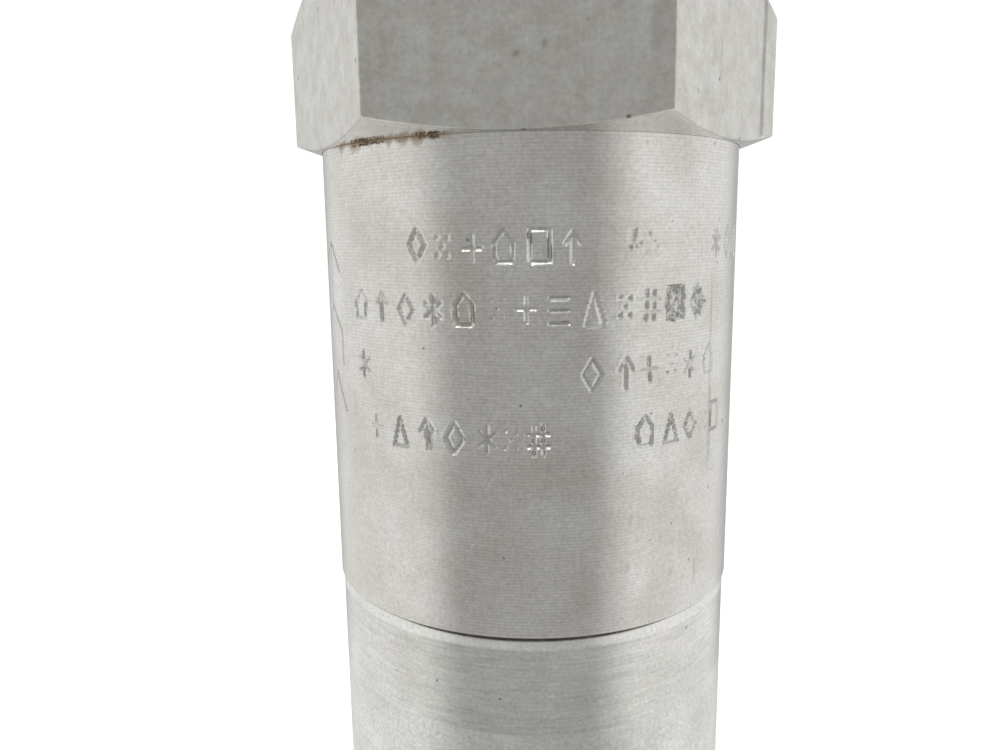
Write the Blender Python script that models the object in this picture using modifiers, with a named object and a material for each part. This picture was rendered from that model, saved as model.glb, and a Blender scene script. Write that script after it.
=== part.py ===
"""Small in-line pressure relief valve, built as an assembly of separate pieces.

Model frame: metres, +Z up along the flow axis, origin at the centre of the inlet end face.
Fluid enters at the male thread at the bottom, lifts the spring loaded poppet off its seat and
leaves through the female port in the hexagon at the top.
"""
import math

import bmesh
import bpy
from mathutils import Matrix

MM = 0.001

# ---- outside of the valve ---------------------------------------------------------------------
ACROSS_FLATS = 25.4 * MM          # 1 inch hexagon bar that the valve body is turned from
BARREL_SKIM = 0.225 * MM          # depth turned off below the flats to make the round barrel
BARREL_LENGTH = 25.6 * MM         # from the joint up to the underside of the hexagon
HEX_HEIGHT = 10.0 * MM            # underside of the hexagon to the outlet end face
HEX_UNDERSIDE_ANGLE = math.radians(20.0)
HEX_TOP_CHAMFER = 2.43 * MM       # 45 degree chamfer, measured down from the sharp corners
FITTING_SKIM = 0.35 * MM          # depth turned off below the flats on the inlet fitting
FITTING_LENGTH = 18.0 * MM        # inlet fitting from its thread shoulder up to the joint
JOINT_CHAMFER = 0.6 * MM          # bright chamfer on the fitting's upper edge
BARREL_EDGE_BREAK = 0.2 * MM
WRENCH_FLAT_DEPTH = 1.25 * MM     # how deep each wrench flat is cut into the inlet fitting
WRENCH_FLAT_HEIGHT = 8.5 * MM

# ---- 1/4-18 taper pipe threads, drawn plain ---------------------------------------------------
PIPE_TAPER = 1.0 / 32.0           # growth in radius per unit length
MALE_THREAD_LENGTH = 14.5 * MM
MALE_THREAD_RADIUS = 6.63 * MM    # crest radius at the small end
MALE_END_CHAMFER = 0.9 * MM
MALE_RELIEF_WIDTH = 1.3 * MM
MALE_RELIEF_DEPTH = 1.1 * MM
PORT_MOUTH_RADIUS = 5.68 * MM     # crest radius at the mouth of the outlet port
PORT_DEPTH = 13.0 * MM
PORT_MOUTH_CHAMFER = 1.3 * MM

# ---- clearances -------------------------------------------------------------------------------
GAP = 0.3 * MM                    # between neighbouring pieces
SPIGOT_END_ROOM = 0.5 * MM        # above the spigot's end face inside the body
CUT_MARGIN = 1.0 * MM             # how far a cutter stands past what it cuts

# ---- joint between the inlet fitting and the body ---------------------------------------------
SPIGOT_LENGTH = 8.0 * MM
SPIGOT_WALL = 2.7 * MM
SPIGOT_GROOVE_DEPTH = 1.6 * MM
SPIGOT_GROOVE_OFFSET = 0.7 * MM   # joint face to the lower edge of the groove
SPIGOT_CHAMFER = 0.5 * MM
JOINT_SEAL_RADIUS = 0.65 * MM     # half the thickness of the sealing ring
BACKUP_THICKNESS = 1.0 * MM

# ---- inlet passage and seat -------------------------------------------------------------------
INLET_BORE_RADIUS = 4.0 * MM
INLET_WEB = 2.5 * MM              # thread shoulder to the floor of the seat chamber
ORIFICE_RADIUS = 3.6 * MM
SEAT_HEIGHT = 4.7 * MM
SEAT_LIP_STEP = 0.1 * MM          # orifice edge to the inside of the raised sealing lip
SEAT_LIP_WIDTH = 0.6 * MM
SEAT_LIP_HEIGHT = 0.6 * MM
SEAT_SEAL_RADIUS = 0.6 * MM
SEAT_GROOVE_DEPTH = 1.5 * MM
RETAINER_HEIGHT = 2.0 * MM
RETAINER_WALL = 0.9 * MM
RETAINER_SLOT_WIDTH = 1.5 * MM
RETAINER_SLOT_DEPTH = 0.9 * MM

# ---- poppet -----------------------------------------------------------------------------------
SEAL_DISC_OVERLAP = 0.4 * MM      # how far the sealing disc reaches past the lip
SEAL_DISC_THICKNESS = 1.5 * MM
POPPET_RIM = 0.8 * MM             # wall round the sealing disc
POPPET_RIM_DROP = 1.2 * MM        # how far that wall reaches down past the top of the disc
POPPET_NECK = 0.3 * MM            # between the seal recess and the guided flange
POPPET_FLANGE_HEIGHT = 3.0 * MM
POPPET_FLAT_DEPTH = 1.0 * MM
POPPET_FLATS = 3
POPPET_HUB_HEIGHT = 5.0 * MM
POPPET_HUB_CLEARANCE = 0.95 * MM
SEAL_SCREW_RADIUS = 1.0 * MM
SEAL_SCREW_LENGTH = 5.0 * MM
SEAL_SCREW_HEAD = 1.0 * MM
SEAL_SCREW_SLOT = 0.5 * MM
SEAL_WASHER_THICKNESS = 0.8 * MM
SEAL_WASHER_FLOW_GAP = 1.1 * MM   # ring left open between the washer and the orifice
SEAL_HEAD_STEP = 0.5 * MM         # washer edge to screw head edge
POPPET_LIFT = 2.0 * MM
STOP_RING_THICKNESS = 1.0 * MM
STOP_RING_REACH = 0.75 * MM       # how far the ring stands into the chamber
STOP_RING_GROOVE_DEPTH = 0.6 * MM
STOP_RING_OPENING = 2.4 * MM

# ---- spring -----------------------------------------------------------------------------------
SPRING_WIRE_RADIUS = 0.7 * MM
SPRING_SIDE_CLEARANCE = 1.2 * MM
SPRING_PITCH = 2.35 * MM
SPRING_CLOSED_TURNS = 1.0         # turns lying flat at each end
SPRING_TURN_GAP = 0.08 * MM       # left between the wires of a closed turn
LOWER_SEAT_THICKNESS = 1.0 * MM
LOWER_SEAT_CLEARANCE = 0.35 * MM  # inside the stop ring
UPPER_SEAT_THICKNESS = 1.5 * MM
UPPER_SEAT_PILOT_HEIGHT = 1.9 * MM
UPPER_SEAT_PILOT_WALL = 0.7 * MM
SHIM_THICKNESS = 0.4 * MM

# ---- adjuster ---------------------------------------------------------------------------------
ADJUSTER_STEP = 0.27 * MM         # port bottom radius down to the adjuster bore radius
ADJUSTER_SOCKET = 6.0 * MM        # across flats of the through socket
ADJUSTER_LENGTH = 4.0 * MM
ADJUSTER_CHAMFER = 0.4 * MM
UPPER_SEAT_HEADROOM = 0.6 * MM    # between the upper spring seat and the chamber ceiling
SOCKET_CLEARANCE = 0.2 * MM
THRUST_WASHER_THICKNESS = 0.7 * MM
THRUST_WASHER_INSET = 0.1 * MM
LOCK_WASHER_THICKNESS = 0.7 * MM
LOCK_WASHER_OPENING = 0.9 * MM
LOCK_SCREW_LENGTH = 2.3 * MM

# ---- roundness of the faceted solids ----------------------------------------------------------
OUTER_STEPS = 64
INNER_STEPS = 32
SMALL_STEPS = 24
RING_SECTION_STEPS = 10
COIL_STEPS = 16

# ---- sizes that follow from the ones above ----------------------------------------------------
HEX_APOTHEM = ACROSS_FLATS / 2
HEX_CORNER = HEX_APOTHEM / math.cos(math.radians(30.0))
BARREL_RADIUS = HEX_APOTHEM - BARREL_SKIM
FITTING_RADIUS = HEX_APOTHEM - FITTING_SKIM
SHOULDER_Z = MALE_THREAD_LENGTH
JOINT_Z = SHOULDER_Z + FITTING_LENGTH
HEX_BASE_Z = JOINT_Z + BARREL_LENGTH
OUTLET_Z = HEX_BASE_Z + HEX_HEIGHT
MALE_SHOULDER_RADIUS = MALE_THREAD_RADIUS + MALE_THREAD_LENGTH * PIPE_TAPER
PORT_BOTTOM_RADIUS = PORT_MOUTH_RADIUS - PORT_DEPTH * PIPE_TAPER

SEAT_LIP_INNER = ORIFICE_RADIUS + SEAT_LIP_STEP
SEAT_LIP_OUTER = SEAT_LIP_INNER + SEAT_LIP_WIDTH
SEAL_DISC_RADIUS = SEAT_LIP_OUTER + SEAL_DISC_OVERLAP
SEAL_RECESS_RADIUS = SEAL_DISC_RADIUS + GAP
POPPET_NOSE_RADIUS = SEAL_RECESS_RADIUS + POPPET_RIM
RETAINER_INNER = POPPET_NOSE_RADIUS + GAP
RETAINER_OUTER = RETAINER_INNER + RETAINER_WALL
CHAMBER_RADIUS = RETAINER_OUTER + GAP
SLIDING_RADIUS = CHAMBER_RADIUS - GAP
SPIGOT_RADIUS = CHAMBER_RADIUS + SPIGOT_WALL
SOCKET_BORE_RADIUS = SPIGOT_RADIUS + GAP
SPIGOT_GROOVE_RADIUS = SPIGOT_RADIUS - SPIGOT_GROOVE_DEPTH
SCREW_HOLE_RADIUS = SEAL_SCREW_RADIUS + GAP
SEAL_WASHER_RADIUS = ORIFICE_RADIUS - SEAL_WASHER_FLOW_GAP
SEAL_HEAD_RADIUS = SEAL_WASHER_RADIUS - SEAL_HEAD_STEP
STOP_RING_INNER = CHAMBER_RADIUS - STOP_RING_REACH
STOP_RING_OUTER = CHAMBER_RADIUS + STOP_RING_GROOVE_DEPTH - GAP
SPRING_OUTER = CHAMBER_RADIUS - SPRING_SIDE_CLEARANCE
SPRING_MEAN = SPRING_OUTER - SPRING_WIRE_RADIUS
SPRING_INNER = SPRING_MEAN - SPRING_WIRE_RADIUS
POPPET_HUB_RADIUS = SPRING_INNER - POPPET_HUB_CLEARANCE
ADJUSTER_BORE_RADIUS = PORT_BOTTOM_RADIUS - ADJUSTER_STEP
ADJUSTER_RADIUS = ADJUSTER_BORE_RADIUS - GAP
FLOW_HOLE_RADIUS = ADJUSTER_SOCKET / 2 + SOCKET_CLEARANCE

# stack upwards from the floor of the seat chamber
SEAT_FLOOR_Z = SHOULDER_Z + INLET_WEB
SEAT_Z = SEAT_FLOOR_Z + GAP
SEAT_TOP_Z = SEAT_Z + SEAT_HEIGHT
LIP_TOP_Z = SEAT_TOP_Z + SEAT_LIP_HEIGHT
RETAINER_Z = SEAT_TOP_Z + GAP
SEAL_DISC_Z = LIP_TOP_Z + GAP
SEAL_WASHER_Z = SEAL_DISC_Z - GAP - SEAL_WASHER_THICKNESS
SEAL_HEAD_Z = SEAL_WASHER_Z - GAP - SEAL_SCREW_HEAD
SEAL_RECESS_Z = SEAL_DISC_Z + SEAL_DISC_THICKNESS + GAP
POPPET_Z = SEAL_RECESS_Z - GAP - POPPET_RIM_DROP
FLANGE_Z = SEAL_RECESS_Z + POPPET_NECK
FLANGE_TOP_Z = FLANGE_Z + POPPET_FLANGE_HEIGHT
STOP_RING_Z = FLANGE_TOP_Z + POPPET_LIFT + GAP
LOWER_SEAT_Z = FLANGE_TOP_Z + GAP
SPRING_BOTTOM_Z = LOWER_SEAT_Z + LOWER_SEAT_THICKNESS + GAP

# stack downwards from the outlet port
PORT_BOTTOM_Z = OUTLET_Z - PORT_DEPTH
LOCK_SCREW_Z = PORT_BOTTOM_Z - GAP - LOCK_SCREW_LENGTH
LOCK_WASHER_Z = LOCK_SCREW_Z - GAP - LOCK_WASHER_THICKNESS
ADJUSTER_Z = LOCK_WASHER_Z - GAP - ADJUSTER_LENGTH
THRUST_WASHER_Z = ADJUSTER_Z - GAP - THRUST_WASHER_THICKNESS
UPPER_SEAT_TOP_Z = THRUST_WASHER_Z - GAP
UPPER_SEAT_Z = UPPER_SEAT_TOP_Z - UPPER_SEAT_THICKNESS
CEILING_Z = UPPER_SEAT_TOP_Z + UPPER_SEAT_HEADROOM
SHIM_Z = UPPER_SEAT_Z - GAP - SHIM_THICKNESS
SPRING_TOP_Z = SHIM_Z - GAP
SPIGOT_TOP_Z = JOINT_Z + SPIGOT_LENGTH
SPIGOT_ROOM_Z = SPIGOT_TOP_Z + SPIGOT_END_ROOM


for leftover in list(bpy.data.objects):
    bpy.data.objects.remove(leftover, do_unlink=True)

parts = bpy.data.collections.new("relief_valve")
cutters = bpy.data.collections.new("relief_valve_cutters")
bpy.context.scene.collection.children.link(parts)
bpy.context.scene.collection.children.link(cutters)


# ---- materials --------------------------------------------------------------------------------
def make_material(name, colour, metallic, roughness):
    """One Principled material; colour is linear red, green, blue."""
    material = bpy.data.materials.new(name)
    material.use_nodes = True
    shader = material.node_tree.nodes["Principled BSDF"]
    shader.inputs["Base Color"].default_value = (*colour, 1.0)
    shader.inputs["Metallic"].default_value = metallic
    shader.inputs["Roughness"].default_value = roughness
    material.diffuse_color = (*colour, 1.0)
    return material


def stainless(name, roughness):
    return make_material(name, (0.50, 0.48, 0.43), 1.0, roughness)


def spring_steel(name):
    return make_material(name, (0.42, 0.41, 0.40), 1.0, 0.28)


def seal_rubber(name):
    return make_material(name, (0.018, 0.017, 0.016), 0.0, 0.55)


def white_plastic(name):
    return make_material(name, (0.80, 0.79, 0.75), 0.0, 0.45)


# ---- building blocks --------------------------------------------------------------------------
def add_object(name, data, collection, location, parent=None):
    piece = bpy.data.objects.new(name, data)
    collection.objects.link(piece)
    piece.location = location
    if parent is not None:
        piece.parent = parent
        piece.location = [location[axis] - parent.location[axis] for axis in range(3)]
    return piece


def add_axis(name, height, parent=None):
    """An empty on the valve's axis that carries the pieces of one moving body."""
    empty = add_object(name, None, parts, (0.0, 0.0, height), parent)
    empty.empty_display_size = ACROSS_FLATS / 2
    return empty


def turned(name, profile, z, material, steps, parent=None):
    """Turn a closed outline of (radius, height) points, listed down its outer side first."""
    mesh = bpy.data.meshes.new(name)
    points = [(radius, 0.0, height) for radius, height in profile]
    touches_axis = profile[0][0] == 0.0 and profile[-1][0] == 0.0
    edges = [(index, index + 1) for index in range(len(points) - 1)]
    if not touches_axis:
        edges.append((len(points) - 1, 0))
    mesh.from_pydata(points, edges, [])
    mesh.materials.append(material)
    piece = add_object(name, mesh, parts, (0.0, 0.0, z), parent)
    screw = piece.modifiers.new("Turn", "SCREW")
    screw.axis = "Z"
    screw.angle = 2 * math.pi
    screw.steps = steps
    screw.render_steps = steps
    screw.use_merge_vertices = True
    screw.merge_threshold = 0.000001
    screw.use_smooth_shade = True
    return piece


def ring(name, inner, outer, height, z, material, steps=INNER_STEPS, edge=0.1 * MM, parent=None):
    """A flat washer or sleeve with its outer edges lightly broken."""
    profile = [
        (outer - edge, height),
        (outer, height - edge),
        (outer, edge),
        (outer - edge, 0.0),
        (inner, 0.0),
        (inner, height),
    ]
    return turned(name, profile, z, material, steps, parent)


def round_ring(name, centre_radius, section_radius, z, material, parent=None):
    """A sealing ring of round section; z is the height of its middle."""
    mesh = bpy.data.meshes.new(name)
    shape = bmesh.new()
    bmesh.ops.create_circle(
        shape, cap_ends=False, radius=section_radius, segments=RING_SECTION_STEPS)
    upright = Matrix.Translation((centre_radius, 0.0, 0.0)) @ Matrix.Rotation(math.pi / 2, 4, "X")
    bmesh.ops.transform(shape, matrix=upright, verts=shape.verts)
    shape.to_mesh(mesh)
    shape.free()
    mesh.materials.append(material)
    piece = add_object(name, mesh, parts, (0.0, 0.0, z), parent)
    screw = piece.modifiers.new("Turn", "SCREW")
    screw.angle = 2 * math.pi
    screw.steps = INNER_STEPS
    screw.render_steps = INNER_STEPS
    screw.use_merge_vertices = True
    screw.merge_threshold = 0.000001
    screw.use_smooth_shade = True
    return piece


def cut(piece, cutter, operation="DIFFERENCE"):
    cutter.hide_render = True
    cutter.display_type = "WIRE"
    boolean = piece.modifiers.new(cutter.name, "BOOLEAN")
    boolean.operation = operation
    boolean.solver = "EXACT"
    boolean.object = cutter


def hexagon_cutter(name, across_flats, low, high, parent=None):
    """A six sided prism with two of its flats facing -Y and +Y."""
    mesh = bpy.data.meshes.new(name)
    shape = bmesh.new()
    corner = across_flats / 2 / math.cos(math.radians(30.0))
    bmesh.ops.create_cone(
        shape, cap_ends=True, segments=6, radius1=corner, radius2=corner, depth=high - low)
    shape.verts.ensure_lookup_table()
    first = shape.verts[0].co
    turn = -math.atan2(first.y, first.x)
    bmesh.ops.rotate(shape, matrix=Matrix.Rotation(turn, 3, "Z"), verts=shape.verts)
    shape.to_mesh(mesh)
    shape.free()
    return add_object(name, mesh, cutters, (0.0, 0.0, (low + high) / 2), parent)


def box_cutter(name, size, centre, turn=0.0, parent=None):
    mesh = bpy.data.meshes.new(name)
    shape = bmesh.new()
    bmesh.ops.create_cube(shape, size=1.0)
    bmesh.ops.scale(shape, vec=size, verts=shape.verts)
    shape.to_mesh(mesh)
    shape.free()
    cutter = add_object(name, mesh, cutters, centre, parent)
    cutter.rotation_euler = (0.0, 0.0, turn)
    return cutter


# ---- body and inlet fitting -------------------------------------------------------------------
def build_valve_body():
    """Hexagon, barrel, outlet port, adjuster bore and spring chamber in one turned bar."""
    flare = HEX_CORNER + CUT_MARGIN
    flare_rise = (flare - BARREL_RADIUS) * math.tan(HEX_UNDERSIDE_ANGLE)
    top_radius = HEX_CORNER - HEX_TOP_CHAMFER
    profile = [
        (top_radius, OUTLET_Z),
        (flare, OUTLET_Z - (flare - top_radius)),
        (flare, HEX_BASE_Z + flare_rise),
        (BARREL_RADIUS, HEX_BASE_Z),
        (BARREL_RADIUS, JOINT_Z + BARREL_EDGE_BREAK),
        (BARREL_RADIUS - BARREL_EDGE_BREAK, JOINT_Z),
        (SOCKET_BORE_RADIUS, JOINT_Z),
        (SOCKET_BORE_RADIUS, SPIGOT_ROOM_Z),
        (CHAMBER_RADIUS, SPIGOT_ROOM_Z),
        (CHAMBER_RADIUS, CEILING_Z),
        (ADJUSTER_BORE_RADIUS, CEILING_Z),
        (ADJUSTER_BORE_RADIUS, PORT_BOTTOM_Z),
        (PORT_BOTTOM_RADIUS, PORT_BOTTOM_Z),
        (PORT_MOUTH_RADIUS, OUTLET_Z - PORT_MOUTH_CHAMFER),
        (PORT_MOUTH_RADIUS + PORT_MOUTH_CHAMFER, OUTLET_Z),
    ]
    profile = [(radius, height - JOINT_Z) for radius, height in profile]
    body = turned("valve_body", profile, JOINT_Z, stainless("turned_hex_bar", 0.34), OUTER_STEPS)
    bar = hexagon_cutter("hex_bar", ACROSS_FLATS, JOINT_Z - CUT_MARGIN, OUTLET_Z + CUT_MARGIN)
    cut(body, bar, "INTERSECT")
    return body


def build_inlet_fitting():
    """Male pipe thread, wrench flats, the visible round band and the spigot that enters the body."""
    shoulder_top = JOINT_Z - GAP
    groove_low = JOINT_Z + SPIGOT_GROOVE_OFFSET
    groove_high = groove_low + BACKUP_THICKNESS + 2 * JOINT_SEAL_RADIUS + 3 * GAP
    stop_low = STOP_RING_Z - GAP
    stop_high = STOP_RING_Z + STOP_RING_THICKNESS + GAP
    stop_radius = CHAMBER_RADIUS + STOP_RING_GROOVE_DEPTH
    relief_radius = MALE_SHOULDER_RADIUS - MALE_RELIEF_DEPTH
    relief_z = SHOULDER_Z - MALE_RELIEF_WIDTH
    profile = [
        (SPIGOT_RADIUS - SPIGOT_CHAMFER, SPIGOT_TOP_Z),
        (SPIGOT_RADIUS, SPIGOT_TOP_Z - SPIGOT_CHAMFER),
        (SPIGOT_RADIUS, groove_high),
        (SPIGOT_GROOVE_RADIUS, groove_high),
        (SPIGOT_GROOVE_RADIUS, groove_low),
        (SPIGOT_RADIUS, groove_low),
        (SPIGOT_RADIUS, shoulder_top),
        (FITTING_RADIUS - JOINT_CHAMFER, shoulder_top),
        (FITTING_RADIUS, shoulder_top - JOINT_CHAMFER),
        (FITTING_RADIUS, SHOULDER_Z + JOINT_CHAMFER),
        (FITTING_RADIUS - JOINT_CHAMFER, SHOULDER_Z),
        (relief_radius, SHOULDER_Z),
        (relief_radius, relief_z),
        (MALE_THREAD_RADIUS + relief_z * PIPE_TAPER, relief_z),
        (MALE_THREAD_RADIUS + MALE_END_CHAMFER * PIPE_TAPER, MALE_END_CHAMFER),
        (MALE_THREAD_RADIUS - MALE_END_CHAMFER, 0.0),
        (INLET_BORE_RADIUS, 0.0),
        (INLET_BORE_RADIUS, SEAT_FLOOR_Z),
        (CHAMBER_RADIUS, SEAT_FLOOR_Z),
        (CHAMBER_RADIUS, stop_low),
        (stop_radius, stop_low),
        (stop_radius, stop_high),
        (CHAMBER_RADIUS, stop_high),
        (CHAMBER_RADIUS, SPIGOT_TOP_Z),
    ]
    fitting = turned("inlet_fitting", profile, 0.0, stainless("turned_fitting_bar", 0.38), OUTER_STEPS)
    flat_distance = FITTING_RADIUS - WRENCH_FLAT_DEPTH
    for side, label in ((-1, "front"), (1, "back")):
        depth = WRENCH_FLAT_DEPTH + CUT_MARGIN
        flat = box_cutter(
            f"wrench_flat_{label}",
            (4 * FITTING_RADIUS, depth, WRENCH_FLAT_HEIGHT + CUT_MARGIN),
            (0.0, side * (flat_distance + depth / 2),
             SHOULDER_Z + (WRENCH_FLAT_HEIGHT - CUT_MARGIN) / 2))
        cut(fitting, flat)
    return fitting


def build_joint_seals():
    """Backing ring and rubber ring in the spigot's groove."""
    groove_low = JOINT_Z + SPIGOT_GROOVE_OFFSET
    inner = SPIGOT_GROOVE_RADIUS + GAP
    ring("joint_backup_ring", inner, SPIGOT_RADIUS, BACKUP_THICKNESS, groove_low + GAP,
         white_plastic("backup_ring_plastic"), edge=GAP / 2)
    round_ring("joint_seal_ring", SPIGOT_RADIUS - JOINT_SEAL_RADIUS, JOINT_SEAL_RADIUS,
               groove_low + 2 * GAP + BACKUP_THICKNESS + JOINT_SEAL_RADIUS,
               seal_rubber("joint_seal_rubber"))


# ---- seat -------------------------------------------------------------------------------------
def build_seat():
    """Seat insert with its raised lip, its own sealing ring and the threaded ring that holds it."""
    groove_floor = SLIDING_RADIUS - SEAT_GROOVE_DEPTH
    groove_half = SEAT_SEAL_RADIUS + GAP
    groove_middle = SEAT_HEIGHT / 2
    profile = [
        (SEAT_LIP_OUTER, SEAT_HEIGHT + SEAT_LIP_HEIGHT),
        (SEAT_LIP_OUTER, SEAT_HEIGHT),
        (SLIDING_RADIUS, SEAT_HEIGHT),
        (SLIDING_RADIUS, groove_middle + groove_half),
        (groove_floor, groove_middle + groove_half),
        (groove_floor, groove_middle - groove_half),
        (SLIDING_RADIUS, groove_middle - groove_half),
        (SLIDING_RADIUS, 0.0),
        (ORIFICE_RADIUS, 0.0),
        (ORIFICE_RADIUS, SEAT_HEIGHT),
        (SEAT_LIP_INNER, SEAT_HEIGHT + SEAT_LIP_HEIGHT),
    ]
    turned("seat_insert", profile, SEAT_Z, stainless("seat_steel", 0.22), INNER_STEPS)
    round_ring("seat_seal_ring", SLIDING_RADIUS - SEAT_SEAL_RADIUS, SEAT_SEAL_RADIUS,
               SEAT_Z + groove_middle, seal_rubber("seat_seal_rubber"))
    retainer = ring("seat_retainer", RETAINER_INNER, RETAINER_OUTER, RETAINER_HEIGHT, RETAINER_Z,
                    stainless("retainer_steel", 0.35))
    slot = box_cutter(
        "retainer_slot",
        (RETAINER_SLOT_WIDTH, 3 * RETAINER_OUTER, RETAINER_SLOT_DEPTH + CUT_MARGIN),
        (0.0, 0.0, RETAINER_Z + RETAINER_HEIGHT - RETAINER_SLOT_DEPTH
         + (RETAINER_SLOT_DEPTH + CUT_MARGIN) / 2))
    cut(retainer, slot)


# ---- poppet -----------------------------------------------------------------------------------
def build_poppet():
    """Poppet with its sealing disc, the washer and screw that hold it, and the lower spring seat."""
    axis = add_axis("poppet_lift_axis", POPPET_Z)
    screw_depth = SEAL_SCREW_LENGTH + GAP
    hole_top = SEAL_WASHER_Z + screw_depth
    profile = [
        (0.0, FLANGE_TOP_Z + POPPET_HUB_HEIGHT),
        (POPPET_HUB_RADIUS - GAP, FLANGE_TOP_Z + POPPET_HUB_HEIGHT),
        (POPPET_HUB_RADIUS, FLANGE_TOP_Z + POPPET_HUB_HEIGHT - GAP),
        (POPPET_HUB_RADIUS, FLANGE_TOP_Z),
        (SLIDING_RADIUS, FLANGE_TOP_Z),
        (SLIDING_RADIUS, FLANGE_Z),
        (POPPET_NOSE_RADIUS, FLANGE_Z),
        (POPPET_NOSE_RADIUS, POPPET_Z),
        (SEAL_RECESS_RADIUS, POPPET_Z),
        (SEAL_RECESS_RADIUS, SEAL_RECESS_Z),
        (SCREW_HOLE_RADIUS, SEAL_RECESS_Z),
        (SCREW_HOLE_RADIUS, hole_top),
        (0.0, hole_top),
    ]
    profile = [(radius, height - POPPET_Z) for radius, height in profile]
    poppet = turned("poppet", profile, POPPET_Z, stainless("poppet_steel", 0.25), INNER_STEPS, axis)
    for index in range(POPPET_FLATS):
        turn = 2 * math.pi * index / POPPET_FLATS
        depth = POPPET_FLAT_DEPTH + CUT_MARGIN
        reach = SLIDING_RADIUS - POPPET_FLAT_DEPTH + depth / 2
        flat = box_cutter(
            f"poppet_flat_{index + 1}",
            (depth, 3 * SLIDING_RADIUS, POPPET_FLANGE_HEIGHT + CUT_MARGIN),
            (reach * math.cos(turn), reach * math.sin(turn), (FLANGE_Z + FLANGE_TOP_Z) / 2),
            turn, axis)
        cut(poppet, flat)

    ring("poppet_seal_disc", SCREW_HOLE_RADIUS, SEAL_DISC_RADIUS, SEAL_DISC_THICKNESS, SEAL_DISC_Z,
         white_plastic("poppet_seal_plastic"), parent=axis)
    ring("seal_washer", SCREW_HOLE_RADIUS, SEAL_WASHER_RADIUS, SEAL_WASHER_THICKNESS, SEAL_WASHER_Z,
         stainless("seal_washer_steel", 0.3), SMALL_STEPS, parent=axis)
    head_top = SEAL_WASHER_Z - GAP
    profile = [
        (0.0, SEAL_WASHER_Z + SEAL_SCREW_LENGTH),
        (SEAL_SCREW_RADIUS, SEAL_WASHER_Z + SEAL_SCREW_LENGTH),
        (SEAL_SCREW_RADIUS, head_top),
        (SEAL_HEAD_RADIUS, head_top),
        (SEAL_HEAD_RADIUS, SEAL_HEAD_Z),
        (0.0, SEAL_HEAD_Z),
    ]
    profile = [(radius, height - SEAL_HEAD_Z) for radius, height in profile]
    screw = turned("seal_screw", profile, SEAL_HEAD_Z, stainless("seal_screw_steel", 0.3),
                   SMALL_STEPS, axis)
    slot = box_cutter(
        "seal_screw_slot",
        (SEAL_SCREW_SLOT, 3 * SEAL_HEAD_RADIUS, SEAL_SCREW_HEAD),
        (0.0, 0.0, SEAL_HEAD_Z), 0.0, axis)
    cut(screw, slot)
    ring("lower_spring_seat", POPPET_HUB_RADIUS + GAP, STOP_RING_INNER - LOWER_SEAT_CLEARANCE,
         LOWER_SEAT_THICKNESS, LOWER_SEAT_Z, stainless("lower_seat_steel", 0.3), parent=axis)


def build_stop_ring():
    """Open retaining ring in the chamber wall that ends the poppet's lift."""
    stop = ring("lift_stop_ring", STOP_RING_INNER, STOP_RING_OUTER, STOP_RING_THICKNESS, STOP_RING_Z,
                spring_steel("stop_ring_steel"))
    opening = box_cutter(
        "stop_ring_opening",
        (STOP_RING_OPENING, 2 * STOP_RING_OUTER, 3 * STOP_RING_THICKNESS),
        (0.0, STOP_RING_OUTER, STOP_RING_Z + STOP_RING_THICKNESS / 2))
    cut(stop, opening)


# ---- spring -----------------------------------------------------------------------------------
def spring_height(turn, turns, length):
    """Height of the wire's centre after so many turns: closed ends, even pitch between."""
    wire = 2 * SPRING_WIRE_RADIUS
    closed_rise = SPRING_CLOSED_TURNS * wire
    open_turns = turns - 2 * SPRING_CLOSED_TURNS
    open_rise = length - wire - 2 * closed_rise
    if turn < SPRING_CLOSED_TURNS:
        return turn * wire
    if turn > turns - SPRING_CLOSED_TURNS:
        return length - wire - (turns - turn) * wire
    return closed_rise + open_rise * (turn - SPRING_CLOSED_TURNS) / open_turns


def build_spring():
    """Compression spring between the two spring seats, as one long wire with filled ends."""
    length = SPRING_TOP_Z - SPRING_BOTTOM_Z
    wire = 2 * SPRING_WIRE_RADIUS
    open_length = length - wire - 2 * SPRING_CLOSED_TURNS * wire
    turns = 2 * SPRING_CLOSED_TURNS + open_length / SPRING_PITCH
    points = int(turns * COIL_STEPS) + 1
    curve = bpy.data.curves.new("main_spring", "CURVE")
    curve.dimensions = "3D"
    curve.bevel_depth = SPRING_WIRE_RADIUS - SPRING_TURN_GAP / 2
    curve.bevel_resolution = 2
    curve.use_fill_caps = True
    spline = curve.splines.new("POLY")
    spline.points.add(points - 1)
    for index in range(points):
        turn = turns * index / (points - 1)
        angle = 2 * math.pi * turn
        height = SPRING_WIRE_RADIUS + spring_height(turn, turns, length)
        spline.points[index].co = (
            SPRING_MEAN * math.cos(angle), SPRING_MEAN * math.sin(angle), height, 1.0)
    curve.materials.append(spring_steel("spring_wire"))
    add_object("main_spring", curve, parts, (0.0, 0.0, SPRING_BOTTOM_Z))


# ---- adjuster ---------------------------------------------------------------------------------
def socket_screw(name, length, z, material, parent):
    """A short hollow screw with a six sided socket right through it."""
    profile = [
        (0.0, length),
        (ADJUSTER_RADIUS - ADJUSTER_CHAMFER, length),
        (ADJUSTER_RADIUS, length - ADJUSTER_CHAMFER),
        (ADJUSTER_RADIUS, ADJUSTER_CHAMFER),
        (ADJUSTER_RADIUS - ADJUSTER_CHAMFER, 0.0),
        (0.0, 0.0),
    ]
    screw = turned(name, profile, z, material, INNER_STEPS, parent)
    socket = hexagon_cutter(f"{name}_socket", ADJUSTER_SOCKET, z - CUT_MARGIN,
                            z + length + CUT_MARGIN, parent)
    cut(screw, socket)
    return screw


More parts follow.
